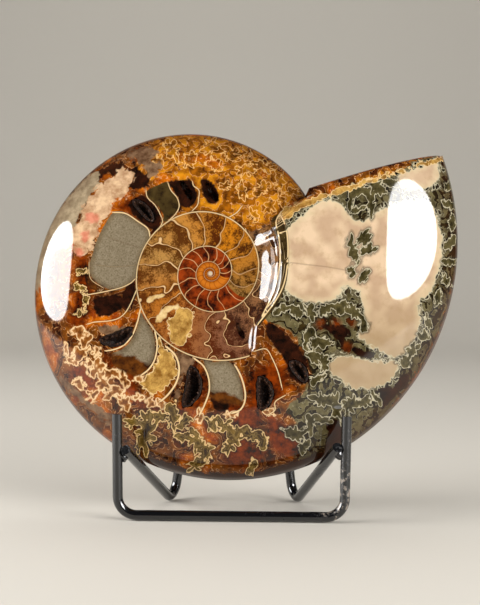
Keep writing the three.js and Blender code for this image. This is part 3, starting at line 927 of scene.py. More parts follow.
class Painter:
    """Makes one material: adds its nodes, and lays colours over one another.

    A colour is a socket or six sRGB hex digits.
    """

    def __init__(self, name: str) -> None:
        """Start an empty material.

        Args:
            name: the material's name.
        """
        self.material = bpy.data.materials.new(name)
        self.material.use_nodes = True
        self.tree = self.material.node_tree

    def fill(self, node: Node, sockets: dict) -> None:
        """Give a node's inputs their links or values.

        Args:
            node: the node.
            sockets: what goes into each input, by number or name. None leaves one as it is.
        """
        for key, value in sockets.items():
            if isinstance(value, NodeSocket):
                self.tree.links.new(value, node.inputs[key])
            elif value is not None:
                node.inputs[key].default_value = value

    def put(self, kind: str, sockets: tuple | dict = (), out: int | str = 0, stops: tuple = (),
            **settings) -> NodeSocket:
        """Add a node with its settings and its values or links.

        Args:
            kind: the node's type, less its ShaderNode prefix.
            sockets: what goes into the inputs, in order or by name.
            out: number or name of the output that is wanted.
            stops: places and colours of a colour ramp.
            **settings: the node's own properties.

        Returns:
            The wanted output socket.
        """
        node = self.tree.nodes.new("ShaderNode" + kind)
        for key, value in settings.items():
            setattr(node, key, value)
        self.fill(node, sockets if isinstance(sockets, dict) else dict(enumerate(sockets)))
        for number, (place, colour) in enumerate(stops):
            ramp = node.color_ramp.elements
            element = ramp[number] if number < 2 else ramp.new(place)
            element.position = place
            element.color = linear(colour)
        return node.outputs[out]

    def cover(self, under: Colour, over: Colour, pattern: NodeSocket, low: Level, high: Level,
              most: Level = 1.0) -> NodeSocket:
        """Lay a colour over another where a pattern runs from low to high.

        Args:
            under: colour where the pattern is low.
            over: colour where it is high.
            pattern: the pattern.
            low: where the upper colour starts to show.
            high: where it shows as much as it can. It may be the lesser of the two.
            most: how far it covers there.

        Returns:
            The colour's socket.
        """
        share = self.put("MapRange", (pattern, low, high, 0.0, most))
        under, over = (linear(paint) if isinstance(paint, str) else paint for paint in (under, over))
        return self.put("Mix", {0: share, 6: under, 7: over}, out=2, data_type="RGBA")

    def finish(self, sockets: dict) -> Material:
        """Give the shader its colour and its other values.

        Args:
            sockets: what goes into the shader's inputs, by name.

        Returns:
            The finished material.
        """
        self.fill(self.tree.nodes["Principled BSDF"], sockets)
        return self.material


@dataclass(frozen=True)
class Growth:
    """Where a point lies on the coil, as sockets. Lengths are in mm, and turns count from the start."""

    radius: NodeSocket
    turns: NodeSocket
    middle: NodeSocket
    gap: NodeSocket
    age: NodeSocket


class StonePainter(Painter):
    """Lays one mineral over another on the shell. Patterns and distances are in mm."""

    def __init__(self, name: str) -> None:
        """Add the patterns and fields that the minerals share.

        Args:
            name: the material's name.
        """
        super().__init__(name)
        put = self.put
        space = put("TexCoord", out="Object")
        plane = put("Mapping", {"Vector": space, "Scale": (1 / MM, 1 / MM, 1 / MM)})
        self.field = {kind: put("Attribute", attribute_name=kind.value, out="Fac") for kind in Kind}
        drawing = put("SeparateXYZ", (put("Attribute", attribute_name="drawing", out="Vector"),))
        self.right, self.up, self.outward = drawing.node.outputs
        # stains of 10 mm, clouds of 3 mm, and grains of 0.5 mm, which are coarser than the stone's own
        self.stain = put("TexNoise", {"Vector": plane, "Scale": 0.1, "Detail": 1.0})
        self.cloud = put("TexNoise", {"Vector": plane, "Scale": 0.34, "Detail": 6.0, "Roughness": 0.62})
        self.speck = put("TexNoise", {"Vector": plane, "Scale": 2.0, "Detail": 3.0, "Roughness": 0.7})
        # the folds of the sutures: round lobes of 2.4 mm that carry lobes of 1 mm, bent by a slow drift
        drift = put("TexNoise", {"Vector": plane, "Scale": 0.32, "Detail": 0.0}, out="Color")
        stray = put("VectorMath", (drift, (0.5, 0.5, 0.5)), operation="SUBTRACT")
        bent = put("VectorMath", {0: stray, 1: (3.0, 3.0, 3.0), 2: plane}, operation="MULTIPLY_ADD")
        large, small, self.bud = (
            put("TexVoronoi", {"Vector": bent, "Scale": scale, "Smoothness": round_off}, feature="SMOOTH_F1")
            for scale, round_off in ((0.42, 0.12), (0.9, 0.12), (0.62, 0.1)))
        fold = put("Math", (small, -1.5, 2.3), operation="MULTIPLY_ADD")
        self.lobe = put("Math", (large, -3.2, fold), operation="MULTIPLY_ADD")
        self.wave = put("TexNoise", {"Vector": plane, "Scale": 0.2, "Detail": 1.0, "Roughness": 0.3})
        self.grown = self.spiral()

    def spiral(self) -> Growth:
        """Work out where a point lies between the walls of the coil's growth spiral.

        Returns:
            The sockets of its place.
        """
        put, x, y = self.put, self.right, self.up
        radius = put("VectorMath", {0: put("CombineXYZ", (x, y))}, out="Value", operation="LENGTH")
        # the angle runs from 0 at the right, anticlockwise round to a full turn
        back_x, back_y = (put("Math", (part, -1.0), operation="MULTIPLY") for part in (x, y))
        angle = put("Math", (put("Math", (back_y, back_x), operation="ARCTAN2"), math.pi), operation="ADD")
        # how many turns of the wall lie inside this point, and how old the shell was here, in turns
        log = put("Math", (radius, math.e), operation="LOGARITHM")
        log = put("Math", (log, COIL_START), operation="SUBTRACT")
        swell = put("Math", (angle, COIL_WAVE_PEAK), operation="SUBTRACT")
        swell = put("Math", (swell,), operation="COSINE")
        grown = put("Math", (swell, -COIL_WAVE, log), operation="MULTIPLY_ADD")
        grown = put("Math", (grown, COIL_GROWTH), operation="DIVIDE")
        turns = put("Math", (grown, angle), operation="SUBTRACT")
        turns = put("Math", (turns, 2 * math.pi), operation="DIVIDE")
        whorl = put("Math", (turns,), operation="FLOOR")
        age = put("Math", (angle, 1 / (2 * math.pi), whorl), operation="MULTIPLY_ADD")
        # distance to the nearest wall: one turn takes the wall out by growth * 2 pi * radius
        across = put("Math", (turns,), operation="FRACT")
        middle = put("Math", (across, 0.5), operation="SUBTRACT")
        middle = put("Math", (middle,), operation="ABSOLUTE")
        pitch = put("Math", (radius, COIL_GROWTH * 2 * math.pi), operation="MULTIPLY")
        gap = put("Math", (put("Math", (0.5, middle), operation="SUBTRACT"), pitch), operation="MULTIPLY")
        return Growth(radius, turns, middle, gap, age)

    def tint(self, dark: str, light: str, grain: NodeSocket | None = None, low: float = 0.38,
             high: float = 0.62) -> NodeSocket:
        """Mix two colours of one mineral by a pattern.

        Args:
            dark: colour where the pattern is low.
            light: colour where it is high.
            grain: the pattern. The clouds, if none is given.
            low: where the pattern counts as low.
            high: where it counts as high.

        Returns:
            The colour's socket.
        """
        return self.cover(dark, light, grain or self.cloud, low, high)

    def folded(self, kind: Kind, height: float) -> NodeSocket:
        """Fold the edge of a mineral's distance field into lobes.

        Args:
            kind: the mineral.
            height: how far the lobes stand out.

        Returns:
            The new distance field.
        """
        return self.put("Math", (self.lobe, height, self.field[kind]), operation="MULTIPLY_ADD")

    def lay(self, under: Colour, over: Colour, distance: NodeSocket, soft: float = 0.14) -> NodeSocket:
        """Lay a mineral where its distance field is positive.

        Args:
            under: colour outside it.
            over: colour inside it.
            distance: the distance field.
            soft: half the width of the edge.

        Returns:
            The colour's socket.
        """
        return self.cover(under, over, distance, -soft, soft)

    def worn(self, low: float, high: float, least: float, most: float = 1.0) -> NodeSocket:
        """Work out what is left of a line, which comes and goes with the clouds.

        Args:
            low: where the clouds leave least of it.
            high: where they leave most of it.
            least: the least share.
            most: the greatest share.

        Returns:
            The share's socket.
        """
        return self.put("MapRange", (self.cloud, low, high, least, most))

    def line(self, under: Colour, colour: str, distance: NodeSocket, half: float, soft: float = 0.14,
             strength: Level = 1.0) -> NodeSocket:
        """Draw a line along the zero of a distance field.

        Args:
            under: colour beside the line.
            colour: colour of the line.
            distance: the distance field.
            half: half the line's width.
            soft: width over which it fades.
            strength: how far the line covers what is under it.

        Returns:
            The colour's socket.
        """
        off = self.put("Math", (distance,), operation="ABSOLUTE")
        return self.cover(under, colour, off, half + soft, half, strength)


@dataclass(frozen=True)
class PolishedFossil:
    """Calcite and agate fillings of a fossil shell, cut, ground flat and polished with felt.

    The polish gives sharp mirror images over deep, cloudy colour.
    """

    roughness: float = 0.045
    ior: float = 1.49
    suture_pitch: float = 2.1
    septa_per_turn: int = 15
    seam_half: float = 0.7
    seam_depth: float = 0.25

    def material(self) -> Material:
        """Build the material. Its patterns read Object coordinates and the fields of the shell.

        Returns:
            The material.
        """
        painter = StonePainter("polished_calcite_fossil")
        put = painter.put
        paint = self.flank(painter)
        for layer in (self.ferns, self.body_chamber, self.chambers, self.coil, self.inlays, self.wall_line,
                      self.septa_lines):
            paint = layer(painter, paint)
        # a fine seam lies on the roll where the last whorl meets the older one
        away = put("Math", (painter.field[Kind.COIL],), operation="ABSOLUTE")
        here = put("MapRange", (painter.right, *SEAM_ENDS, 0.0, 1.0), interpolation_type="SMOOTHSTEP")
        seam = put("MapRange", (away, self.seam_half, 0.0, 0.0, here))
        groove = put("Bump", {"Strength": 1.0, "Distance": self.seam_depth * MM, "Height": seam}, invert=True)
        return painter.finish({"Base Color": paint, "Normal": groove, "Roughness": self.roughness,
                               "IOR": self.ior})

    def flank(self, painter: StonePainter) -> NodeSocket:
        """Paint the last whorl: amber and brown calcite, with the sutures that wind across it.

        Args:
            painter: the painter of the material.

        Returns:
            The colour's socket.
        """
        put, tint, lay, line, folded = painter.put, painter.tint, painter.lay, painter.line, painter.folded
        # one suture follows another like the bands of a contour map, folded into lobes
        winding = put("Math", (painter.stain, 28.0, painter.lobe), operation="MULTIPLY_ADD")
        suture = put("Math", (winding, self.suture_pitch), operation="PINGPONG")
        inner = put("Math", (suture, self.suture_pitch / 2), operation="SUBTRACT")
        brown = lay(tint("200c04", "562608"), tint("42200a", "824812"), inner)
        amber = lay(tint("4c2606", "a05c0c"), tint("7a400a", "cc8416"), inner)
        olive = lay(tint("181209", "33270f"), tint("423a22", "6a6040"), inner)
        paint = lay(brown, amber, folded(Kind.GOLD, 0.5), 0.7)
        hot = put("MapRange", (painter.stain, 0.56, 0.64, -1.0, 1.0))
        paint = lay(paint, tint("7e3006", "c4680c"), hot, 1.0)
        paint = line(paint, "d2a06c", inner, 0.04, strength=painter.worn(0.4, 0.55, 0.15, 0.8))
        # lobes of the amber part: a cream line in a brown halo
        lobe = folded(Kind.LOBE, 0.28)
        paint = painter.cover(paint, "3e2406", lobe, 0.1, 1.4, 0.7)
        paint = line(paint, "dcae6a", lobe, 0.05, 0.13, painter.worn(0.35, 0.5, 0.45))
        olive = line(olive, "a8a07c", inner, 0.04, strength=0.4)
        paint = lay(paint, olive, folded(Kind.KHAKI, 0.5), 0.3)
        paint = lay(paint, tint("240a02", "7e3004", low=0.35, high=0.65), painter.field[Kind.RUST], 1.3)
        for kind, dark, light, height, soft in (
                (Kind.UMBER, "0e0603", "301408", 0.3, 0.3), (Kind.MAUVE, "523824", "86684c", 0.7, 0.3),
                (Kind.ASH, "87765c", "b09d7e", 0.6, 0.3), (Kind.SAND, "a07a58", "d0ae88", 0.9, 0.3),
                (Kind.CORAL, "b0644a", "cc8468", 0.45, 0.5)):
            paint = lay(paint, tint(dark, light), folded(kind, height), soft)
        # painted shade: the flank is darker towards the rim, where it turns away
        height = put("Math", (painter.outward,), operation="ABSOLUTE")
        return painter.cover(paint, "3a1c08", height, 10.5, 2.0, 0.75)

    def ferns(self, painter: StonePainter, under: NodeSocket) -> NodeSocket:
        """Paint the last whorl's largest sutures, which branch like ferns and oak leaves.

        Args:
            painter: the painter of the material.
            under: colour of what they lie on.

        Returns:
            The colour's socket.
        """
        put, cover, line = painter.put, painter.cover, painter.line
        # fern: branches of cream calcite with brown between them
        fern = painter.folded(Kind.FERN, 0.4)
        paint = painter.lay(under, painter.tint("4a230d", "8a5220"), fern, 0.4)
        branch = put("Math", (fern, 0.95), operation="PINGPONG")
        glow = put("MapRange", (fern, -0.5, 0.1, 0.0, 1.0))
        paint = line(paint, "a87440", branch, 0.25, 0.4, glow)
        glow = put("Math", (glow, painter.worn(0.36, 0.52, 0.5)), operation="MULTIPLY")
        paint = line(paint, "e2c496", branch, 0.1, 0.2, glow)
        # oak-leaf folds: a cream line round olive brown, with a paler echo of it inside
        leaf = painter.folded(Kind.LEAF, 0.28)
        paint = cover(paint, "1e0a02", leaf, -1.0, -0.1, 0.7)
        paint = painter.lay(paint, painter.tint("33200a", "70561f"), leaf)
        echo = put("Math", (leaf, 0.7), operation="SUBTRACT")
        paint = line(paint, "8a7240", echo, 0.03, strength=0.5)
        paint = cover(paint, "140a02", leaf, 0.6, 2.0, 0.8)
        return line(paint, "d2b078", leaf, 0.06, strength=painter.worn(0.35, 0.5, 0.55))

    def body_chamber(self, painter: StonePainter, under: NodeSocket) -> NodeSocket:
        """Paint the beige fillings of the body chamber and the grey frills round them.

        Args:
            painter: the painter of the material.
            under: colour of what they lie on.

        Returns:
            The colour's socket.
        """
        put, cover, tint, lay, line = painter.put, painter.cover, painter.tint, painter.lay, painter.line
        edge = painter.folded(Kind.PORCELAIN, 0.45)
        beige = tint("b89a7c", "d4b897", painter.wave, 0.35, 0.65)
        beige = cover(beige, "a4855f", painter.cloud, 0.5, 0.75, 0.6)
        beige = cover(beige, "cdbb95", edge, 2.2, 0.0, 0.7)
        # painted shade: the beige is darker towards the bottom, where the light falls off
        beige = cover(beige, "9a8260", painter.up, -2.0, -24.0, 0.75)
        paint = lay(under, beige, edge)
        paint = line(paint, "c8bd9e", edge, 0.1, 0.35, 0.8)
        # the frills: buds of 1 mm, dark inside and pale at their rims, in a belt round the beige
        width = put("MapRange", (painter.wave, 0.42, 0.6, 0.5, 2.0))
        outer = put("Math", (edge, width), operation="ADD")
        inner = put("Math", (edge, -1.0), operation="MULTIPLY")
        belt = put("Math", (inner, outer), operation="MINIMUM")
        bud = put("Math", (painter.bud, 0.46), operation="SUBTRACT")
        grey = lay(tint("17120a", "362b1c", painter.speck), tint("453c28", "6b624a", painter.speck), bud, 0.1)
        grey = line(grey, "b5ad92", bud, 0.02, 0.08, put("MapRange", (edge, -3.0, -0.4, 0.55, 1.0)))
        paint = lay(paint, grey, belt, 0.3)
        fan = painter.folded(Kind.FRILL, 0.22)
        paint = cover(paint, "14100a", fan, -0.9, -0.1, 0.7)
        paint = lay(paint, tint("2c2612", "5a5030"), fan)
        paint = cover(paint, "120e06", fan, 0.5, 1.6, 0.75)
        return line(paint, "b8ae92", fan, 0.04, 0.12, painter.worn(0.35, 0.5, 0.5))

    def chambers(self, painter: StonePainter, under: NodeSocket) -> NodeSocket:
        """Paint the fillings of the last whorl's chambers: granular stone, and glassy calcite.

        Args:
            painter: the painter of the material.
            under: colour of what they lie on.

        Returns:
            The colour's socket.
        """
        tint, lay, field = painter.tint, painter.lay, painter.field
        stone = tint("63563f", "8d806a", painter.speck, 0.3, 0.7)
        stone = painter.cover(stone, tint("3c2a16", "6a5636"), field[Kind.STONE], 2.0, 0.0, 0.75)
        paint = lay(under, stone, field[Kind.STONE], 0.12)
        # painted shade: darker brown at the bottoms of the stone-filled chambers
        paint = lay(paint, tint("2e1506", "62350f"), painter.folded(Kind.CHAMBER_SHADE, 0.4), 0.5)
        return lay(paint, tint("2a1e0c", "46371a"), field[Kind.GLASS], 0.12)

    def coil(self, painter: StonePainter, under: NodeSocket) -> NodeSocket:
        """Paint the chambers of the inner whorls and the septa between them.

        Args:
            painter: the painter of the material.
            under: colour of the face outside the inner whorls.

        Returns:
            The colour's socket.
        """
        put, cover = painter.put, painter.cover
        grown = painter.grown
        # septa, evenly spaced by age, bowed forward between the walls and waved more from whorl to whorl
        wavy = put("Math", (painter.wave, 0.5), operation="SUBTRACT")
        waver = put("MapRange", (grown.age, 1.3, 1.7, 0.05, 0.14))
        shift = put("Math", (wavy, waver, grown.age), operation="MULTIPLY_ADD")
        bow = put("Math", (grown.middle, 2.0), operation="POWER")
        bowed = put("Math", (bow, -0.09, shift), operation="MULTIPLY_ADD")
        phase = put("Math", (bowed, float(self.septa_per_turn)), operation="MULTIPLY")
        beside = put("Math", (phase, 0.5), operation="PINGPONG")
        spacing = put("Math", (grown.radius, 2 * math.pi / self.septa_per_turn), operation="MULTIPLY")
        beside = put("Math", (beside, spacing), operation="MULTIPLY")
        chamber = self.filling(painter, grown.age, phase)
        shadow = put("MapRange", (grown.age, 1.05, 1.4, 0.245, 0.63))
        chamber = cover(chamber, "4a2206", beside, 1.1, 0.25, shadow)
        strength = put("MapRange", (grown.age, 1.05, 1.4, 0.35, 0.9))
        chamber = cover(chamber, "d9b480", beside, 0.24, 0.1, strength)
        # the second whorl's red-brown chambers
        ring = cover(painter.tint("2a0c04", "8a340e"), "c89a68", beside, 0.17, 0.05, 0.85)
        chamber = cover(chamber, ring, put("Math", (bowed, 0.89), operation="LESS_THAN"), 0.0, 1.0)
        # the orange first whorl, brown towards its wall, and its pale nucleus
        first = cover("7c3206", "b8681a", grown.gap, 0.0, 1.1)
        first = cover(first, "6a2a06", beside, 0.2, 0.05, 0.55)
        chamber = cover(chamber, first, put("Math", (bowed, -0.045), operation="LESS_THAN"), 0.0, 1.0)
        chamber = cover(chamber, "dcc8ac", grown.radius, 0.9, 0.5)
        return painter.lay(under, chamber, painter.field[Kind.COIL], 0.05)

    def filling(self, painter: StonePainter, age: NodeSocket, phase: NodeSocket) -> NodeSocket:
        """Paint the third whorl's fillings, each dark behind its septum and clearer towards the next one.

        Args:
            painter: the painter of the material.
            age: the age in turns.
            phase: the age in chambers.

        Returns:
            The colour's socket.
        """
        put = painter.put
        # from gold at the top to tan at the left and mauve at the bottom
        where = put("MapRange", (age, 0.9, 2.0, 0.0, 1.0))
        dark = put("ValToRGB", {"Fac": where}, stops=(
            (0.0, "3a220a"), (0.3, "4a2006"), (0.5, "54300f"), (0.72, "5a240a"), (0.85, "321a10"),
            (1.0, "2c170a")))
        light = put("ValToRGB", {"Fac": where}, stops=(
            (0.0, "8a6430"), (0.25, "bc7214"), (0.5, "a87c40"), (0.62, "a86420"), (0.8, "744a32"),
            (1.0, "825a34")))
        number = put("Math", (phase,), operation="FLOOR")
        pick = put("TexWhiteNoise", {"W": number}, noise_dimensions="1D")
        mottle = painter.cloud
        for pattern, share in ((pick, 0.1), (painter.speck, 0.7)):
            pattern = put("Math", (pattern, 0.5), operation="SUBTRACT")
            mottle = put("Math", (pattern, share, mottle), operation="MULTIPLY_ADD")
        ahead = put("Math", (phase,), operation="FRACT")
        clear = put("MapRange", (ahead, 0.0, 1.0, 0.14, -0.12))
        share = put("MapRange", (age, 0.9, 1.4, 0.4, 1.0))
        clear = put("Math", (clear, share), operation="MULTIPLY")
        mottle = put("Math", (mottle, clear), operation="SUBTRACT")
        return painter.cover(dark, light, mottle, 0.38, 0.62)

    def inlays(self, painter: StonePainter, under: NodeSocket) -> NodeSocket:
        """Paint the banded agate and the cream calcite that lie over the coil's edge.

        Args:
            painter: the painter of the material.
            under: colour of what they lie on.

        Returns:
            The colour's socket.
        """
        agate = painter.folded(Kind.AGATE, 0.55)
        bands = painter.put("Math", (agate, 0.7), operation="PINGPONG")
        inside = painter.put("MapRange", (agate, 0.2, 0.5, 0.0, 0.35))
        paint = painter.lay(under, painter.tint("7c5420", "c49a50"), agate, 0.2)
        paint = painter.line(paint, "7a4a16", bands, 0.05, 0.3, inside)
        paint = painter.line(paint, "dfc08a", agate, 0.06, 0.16, 0.8)
        return painter.lay(paint, painter.tint("b98f50", "dcc08a"), painter.folded(Kind.CREAM, 0.25), 0.2)

    def wall_line(self, painter: StonePainter, under: NodeSocket) -> NodeSocket:
        """Draw the coil's wall, thicker from whorl to whorl, with a brown shadow.

        Args:
            painter: the painter of the material.
            under: colour of what it lies on.

        Returns:
            The colour's socket.
        """
        put, paint = painter.put, under
        grown = painter.grown
        half = put("MapRange", (grown.turns, -0.5, 2.0, -0.04, 0.1))
        here = put("MapRange", (painter.field[Kind.COIL], -0.5, -0.35, 0.0, 1.0))
        older = put("Math", (grown.turns, 2.3), operation="LESS_THAN")
        here = put("Math", (here, older), operation="MULTIPLY")
        for colour, wider, share in (("2c1a0a", 0.42, 0.5), ("d4b888", 0.15, 0.9)):
            outer = put("Math", (half, wider), operation="ADD")
            most = put("Math", (here, share), operation="MULTIPLY")
            paint = painter.cover(paint, colour, grown.gap, outer, half, most)
        return paint

    def septa_lines(self, painter: StonePainter, under: NodeSocket) -> NodeSocket:
        """Draw the last whorl's septa as cream lines in a brown shadow, each of its own width.

        Args:
            painter: the painter of the material.
            under: colour of what they lie on.

        Returns:
            The colour's socket.
        """
        put, paint = painter.put, under
        septum = put("SeparateXYZ", (put("Attribute", attribute_name="septum", out="Vector"),))
        side, away, half = septum.node.outputs
        beside = put("Math", (side,), operation="ABSOLUTE")
        for colour, wider, share in (("361d0a", 0.45, 0.55), ("d9bc8c", 0.15, 1.0)):
            outer = put("Math", (half, wider), operation="ADD")
            near = put("MapRange", (away, 0.95, 0.7, 0.0, share))
            paint = painter.cover(paint, colour, beside, outer, half, near)
        return paint


@dataclass(frozen=True)
class CrystalCrust:
    """Druse of fine calcite crystals, grown loose on the wall of an open chamber.

    The crystals' colour is painted shade: dark at their roots and deep in the hollow, pale at their tips
    and near the lip. They scatter too much for a mirror image.
    """

    name: str
    root: str
    tip: str
    roughness: float = 0.55
    ior: float = 1.49
    specular: float = 0.25
    grain_per_metre: float = 1600.0
    grain_depth: float = 0.3

    def material(self) -> Material:
        """Build the crust's material, with grains of 0.6 mm.

        Returns:
            The material.
        """
        painter = Painter(self.name)
        put = painter.put
        space = put("TexCoord", out="Object")
        grain = put("TexVoronoi", {"Vector": space, "Scale": self.grain_per_metre})
        # the growth attribute holds painted shade: dark at the crystals' roots and deep in the hollow, pale
        # at the tips
        grown = put("Attribute", attribute_name="growth", out="Fac")
        share = put("Math", (put("MapRange", (grain, 0.7, 0.1, 0.0, 0.15)), grown), operation="ADD")
        bump = put("Bump", {"Strength": 0.7, "Distance": self.grain_depth * MM, "Height": grain})
        return painter.finish({
            "Base Color": painter.cover(self.root, self.tip, share, 0.0, 1.0), "Roughness": self.roughness,
            "IOR": self.ior, "Specular IOR Level": self.specular, "Normal": bump})


@dataclass(frozen=True)
class StovedPaint:
    """Gloss black paint, dipped and stoved on steel wire, worn pale where it is handled."""

    roughness: float = 0.16
    worn_roughness: float = 0.5
    coat: float = 0.6
    coat_roughness: float = 0.05
    peel_depth: float = 0.1

    def material(self) -> Material:
        """Build the paint's material, with chips of 2 mm and a faint orange peel of 1 mm.

        Returns:
            The material.
        """
        painter = Painter("stoved_black_paint")
        put = painter.put
        space = put("TexCoord", out="Object")
        chip = put("TexNoise", {"Vector": space, "Scale": 520.0, "Detail": 5.0, "Roughness": 0.7})
        patch = put("TexNoise", {"Vector": space, "Scale": 45.0, "Detail": 1.0})
        worn = put("Math", (chip, patch), operation="MULTIPLY")
        peel = put("TexNoise", {"Vector": space, "Scale": 900.0, "Detail": 2.0})
        return painter.finish({
            "Base Color": painter.cover("08080a", "82766a", worn, 0.375, 0.40),
            "Roughness": put("MapRange", (worn, 0.3, 0.4, self.roughness, self.worn_roughness)),
            "Coat Weight": self.coat, "Coat Roughness": self.coat_roughness,
            "Normal": put("Bump", {"Strength": 0.2, "Distance": self.peel_depth * MM, "Height": peel})})


@dataclass
class Druse:
    """Crystal linings of the open chambers. Lengths are in mm.

    widths are shares of the crystal's width, and shafts and the point are shares of its own width.
    The lips are shares of the pit's depth.
    """

    shell: Shell
    gap: float = 0.3
    crust: float = 0.6
    crust_rough: float = 0.06
    crystal_width: float = 0.5
    widths: tuple = (0.6, 1.3)
    shafts: tuple = (0.5, 1.1)
    point: float = 0.6
    stray: float = 0.3
    per_square_mm: float = 1.8
    bowl_lip: float = 0.08
    bare_lip: float = 0.1
    seed: int = 7

    def bowl(self, name: str, side: int) -> Object:
        """Start a crust from the lower half of a ball, doubled by an extrusion that stays selected.

        Args:
            name: the crust's name.
            side: 1 on the front flank, -1 on the back one.

        Returns:
            The bowl, with both of its walls still in one place.
        """
        select()
        bpy.ops.mesh.primitive_uv_sphere_add(segments=48, ring_count=24, radius=1)
        bowl = bpy.context.object
        bowl.name = name.replace("druse", "druse_crust")
        bpy.ops.object.mode_set(mode="EDIT")
        bpy.ops.mesh.select_mode(type="VERT")
        bpy.ops.mesh.select_all(action="DESELECT")
        bpy.ops.object.mode_set(mode="OBJECT")
        for vertex in bowl.data.vertices:
            vertex.select = vertex.co.z * side > self.bowl_lip
        bpy.ops.object.mode_set(mode="EDIT")
        bpy.ops.mesh.delete(type="VERT")
        bpy.ops.mesh.select_all(action="SELECT")
        bpy.ops.mesh.extrude_region_move()
        bpy.ops.object.mode_set(mode="OBJECT")
        return bowl

    def crystal(self, random: np.random.Generator, pit: Pit, way: np.ndarray) -> np.ndarray:
        """Grow one crystal: a six-sided prism with a point.

        Args:
            random: the source of chance.
            pit: the pit that it grows in.
            way: direction of its root, as a point of a unit sphere.

        Returns:
            Its 13 points: those of the foot, those of the shoulder, and the tip.
        """
        root = np.array(pit.wall(*way, inset=self.gap + 0.5 * self.crust))
        aim = np.array([-0.5 * way[0], -way[1], -way[2]]) + random.normal(0, self.stray, 3)
        aim /= np.linalg.norm(aim)
        size = random.uniform(*self.widths) * self.crystal_width
        first = np.cross(aim, (0.3, 0.5, 0.8))
        first /= np.linalg.norm(first)
        second = np.cross(aim, first)
        turn = random.uniform(0, math.pi) + np.arange(6) * math.pi / 3
        hexagon = (np.cos(turn)[:, None] * first + np.sin(turn)[:, None] * second) * size / 2
        shaft = size * random.uniform(*self.shafts)
        tip = root + aim * (shaft + self.point * size)
        return np.vstack([root + hexagon, root + hexagon + aim * shaft, tip])

    def build(self, name: str, pit: Pit, side: int, finish: Material) -> Object:
        """Grow the crust of one pit: a thin bowl with crystals that stand on it.

        Args:
            name: the piece's name.
            pit: the pit.
            side: 1 on the front flank, -1 on the back one.
            finish: the crust's material.

        Returns:
            The crust as an object.
        """
        random = np.random.default_rng(self.seed + int(10 * abs(pit.u)))
        bowl = self.bowl(name, side)
        inner = np.array([vertex.select for vertex in bowl.data.vertices])
        way = np.array([vertex.co for vertex in bowl.data.vertices])
        rough = random.normal(0, self.crust_rough, len(way))
        # the crust thins out at the lip
        deep = np.clip(0.15 + 2.5 * np.abs(way[:, 2:]), 0, 1)
        points, inside = (np.column_stack(pit.wall(*way.T, inset=inset))
                          for inset in (self.gap, self.gap + self.crust))
        points += np.where(inner[:, None], inside - points, 0) * deep
        points += np.where(inner, rough, 0)[:, None] * deep
        faces = [tuple(polygon.vertices) for polygon in bowl.data.polygons]
        # the wall's area, as that of its mouth and of a side about as steep as it is deep
        area = math.pi * pit.length * pit.width / 4 + 1.6 * pit.depth * (pit.length + pit.width) / 2
        pieces, growth = [points], [np.where(inner, 0.1, 0.0)]
        base = len(points)
        for _ in range(int(area * self.per_square_mm)):
            spot = random.normal(size=3)
            spot[2] = -abs(spot[2]) * side
            spot /= np.linalg.norm(spot)
            if abs(spot[2]) < self.bare_lip:
                continue
            pieces.append(self.crystal(random, pit, spot))
            # painted shade: a crystal deep in the hollow is darker, and its root is darker than its tip
            light = (1 - abs(spot[2])) ** 1.5
            growth.append(np.array([0.0] * 6 + [0.6 * light] * 6 + [light]))
            foot, shoulder, tip = range(base, base + 6), range(base + 6, base + 12), base + 12
            for i, j in zip(range(6), (1, 2, 3, 4, 5, 0)):
                faces += [(foot[i], foot[j], shoulder[j], shoulder[i]), (shoulder[i], shoulder[j], tip)]
            faces.append(tuple(reversed(foot)))
            base += 13
        place = np.array(self.shell.pit_place(pit, side))
        points = np.vstack(pieces) @ place[:3, :3].T + place[:3, 3]
        mesh = bpy.data.meshes.new(name)
        mesh.from_pydata((points * MM).tolist(), [], faces)
        store(mesh, "growth", np.concatenate(growth))
        bowl.data = mesh
        mesh.materials.append(finish)
        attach(bowl, "root")
        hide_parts(name)
        return bowl


@dataclass(frozen=True)
class Corner:
    """A corner of a wire's path, in mm, and the radius of its bend."""

    x: float
    y: float
    z: float
    bend: float = 0.0

    def place(self) -> Vector:
        """Return the corner as a vector."""
        return Vector((self.x, self.y, self.z))

    def mirrored(self) -> "Corner":
        """Return the same corner on the other side."""
        return Corner(-self.x, self.y, self.z, self.bend)


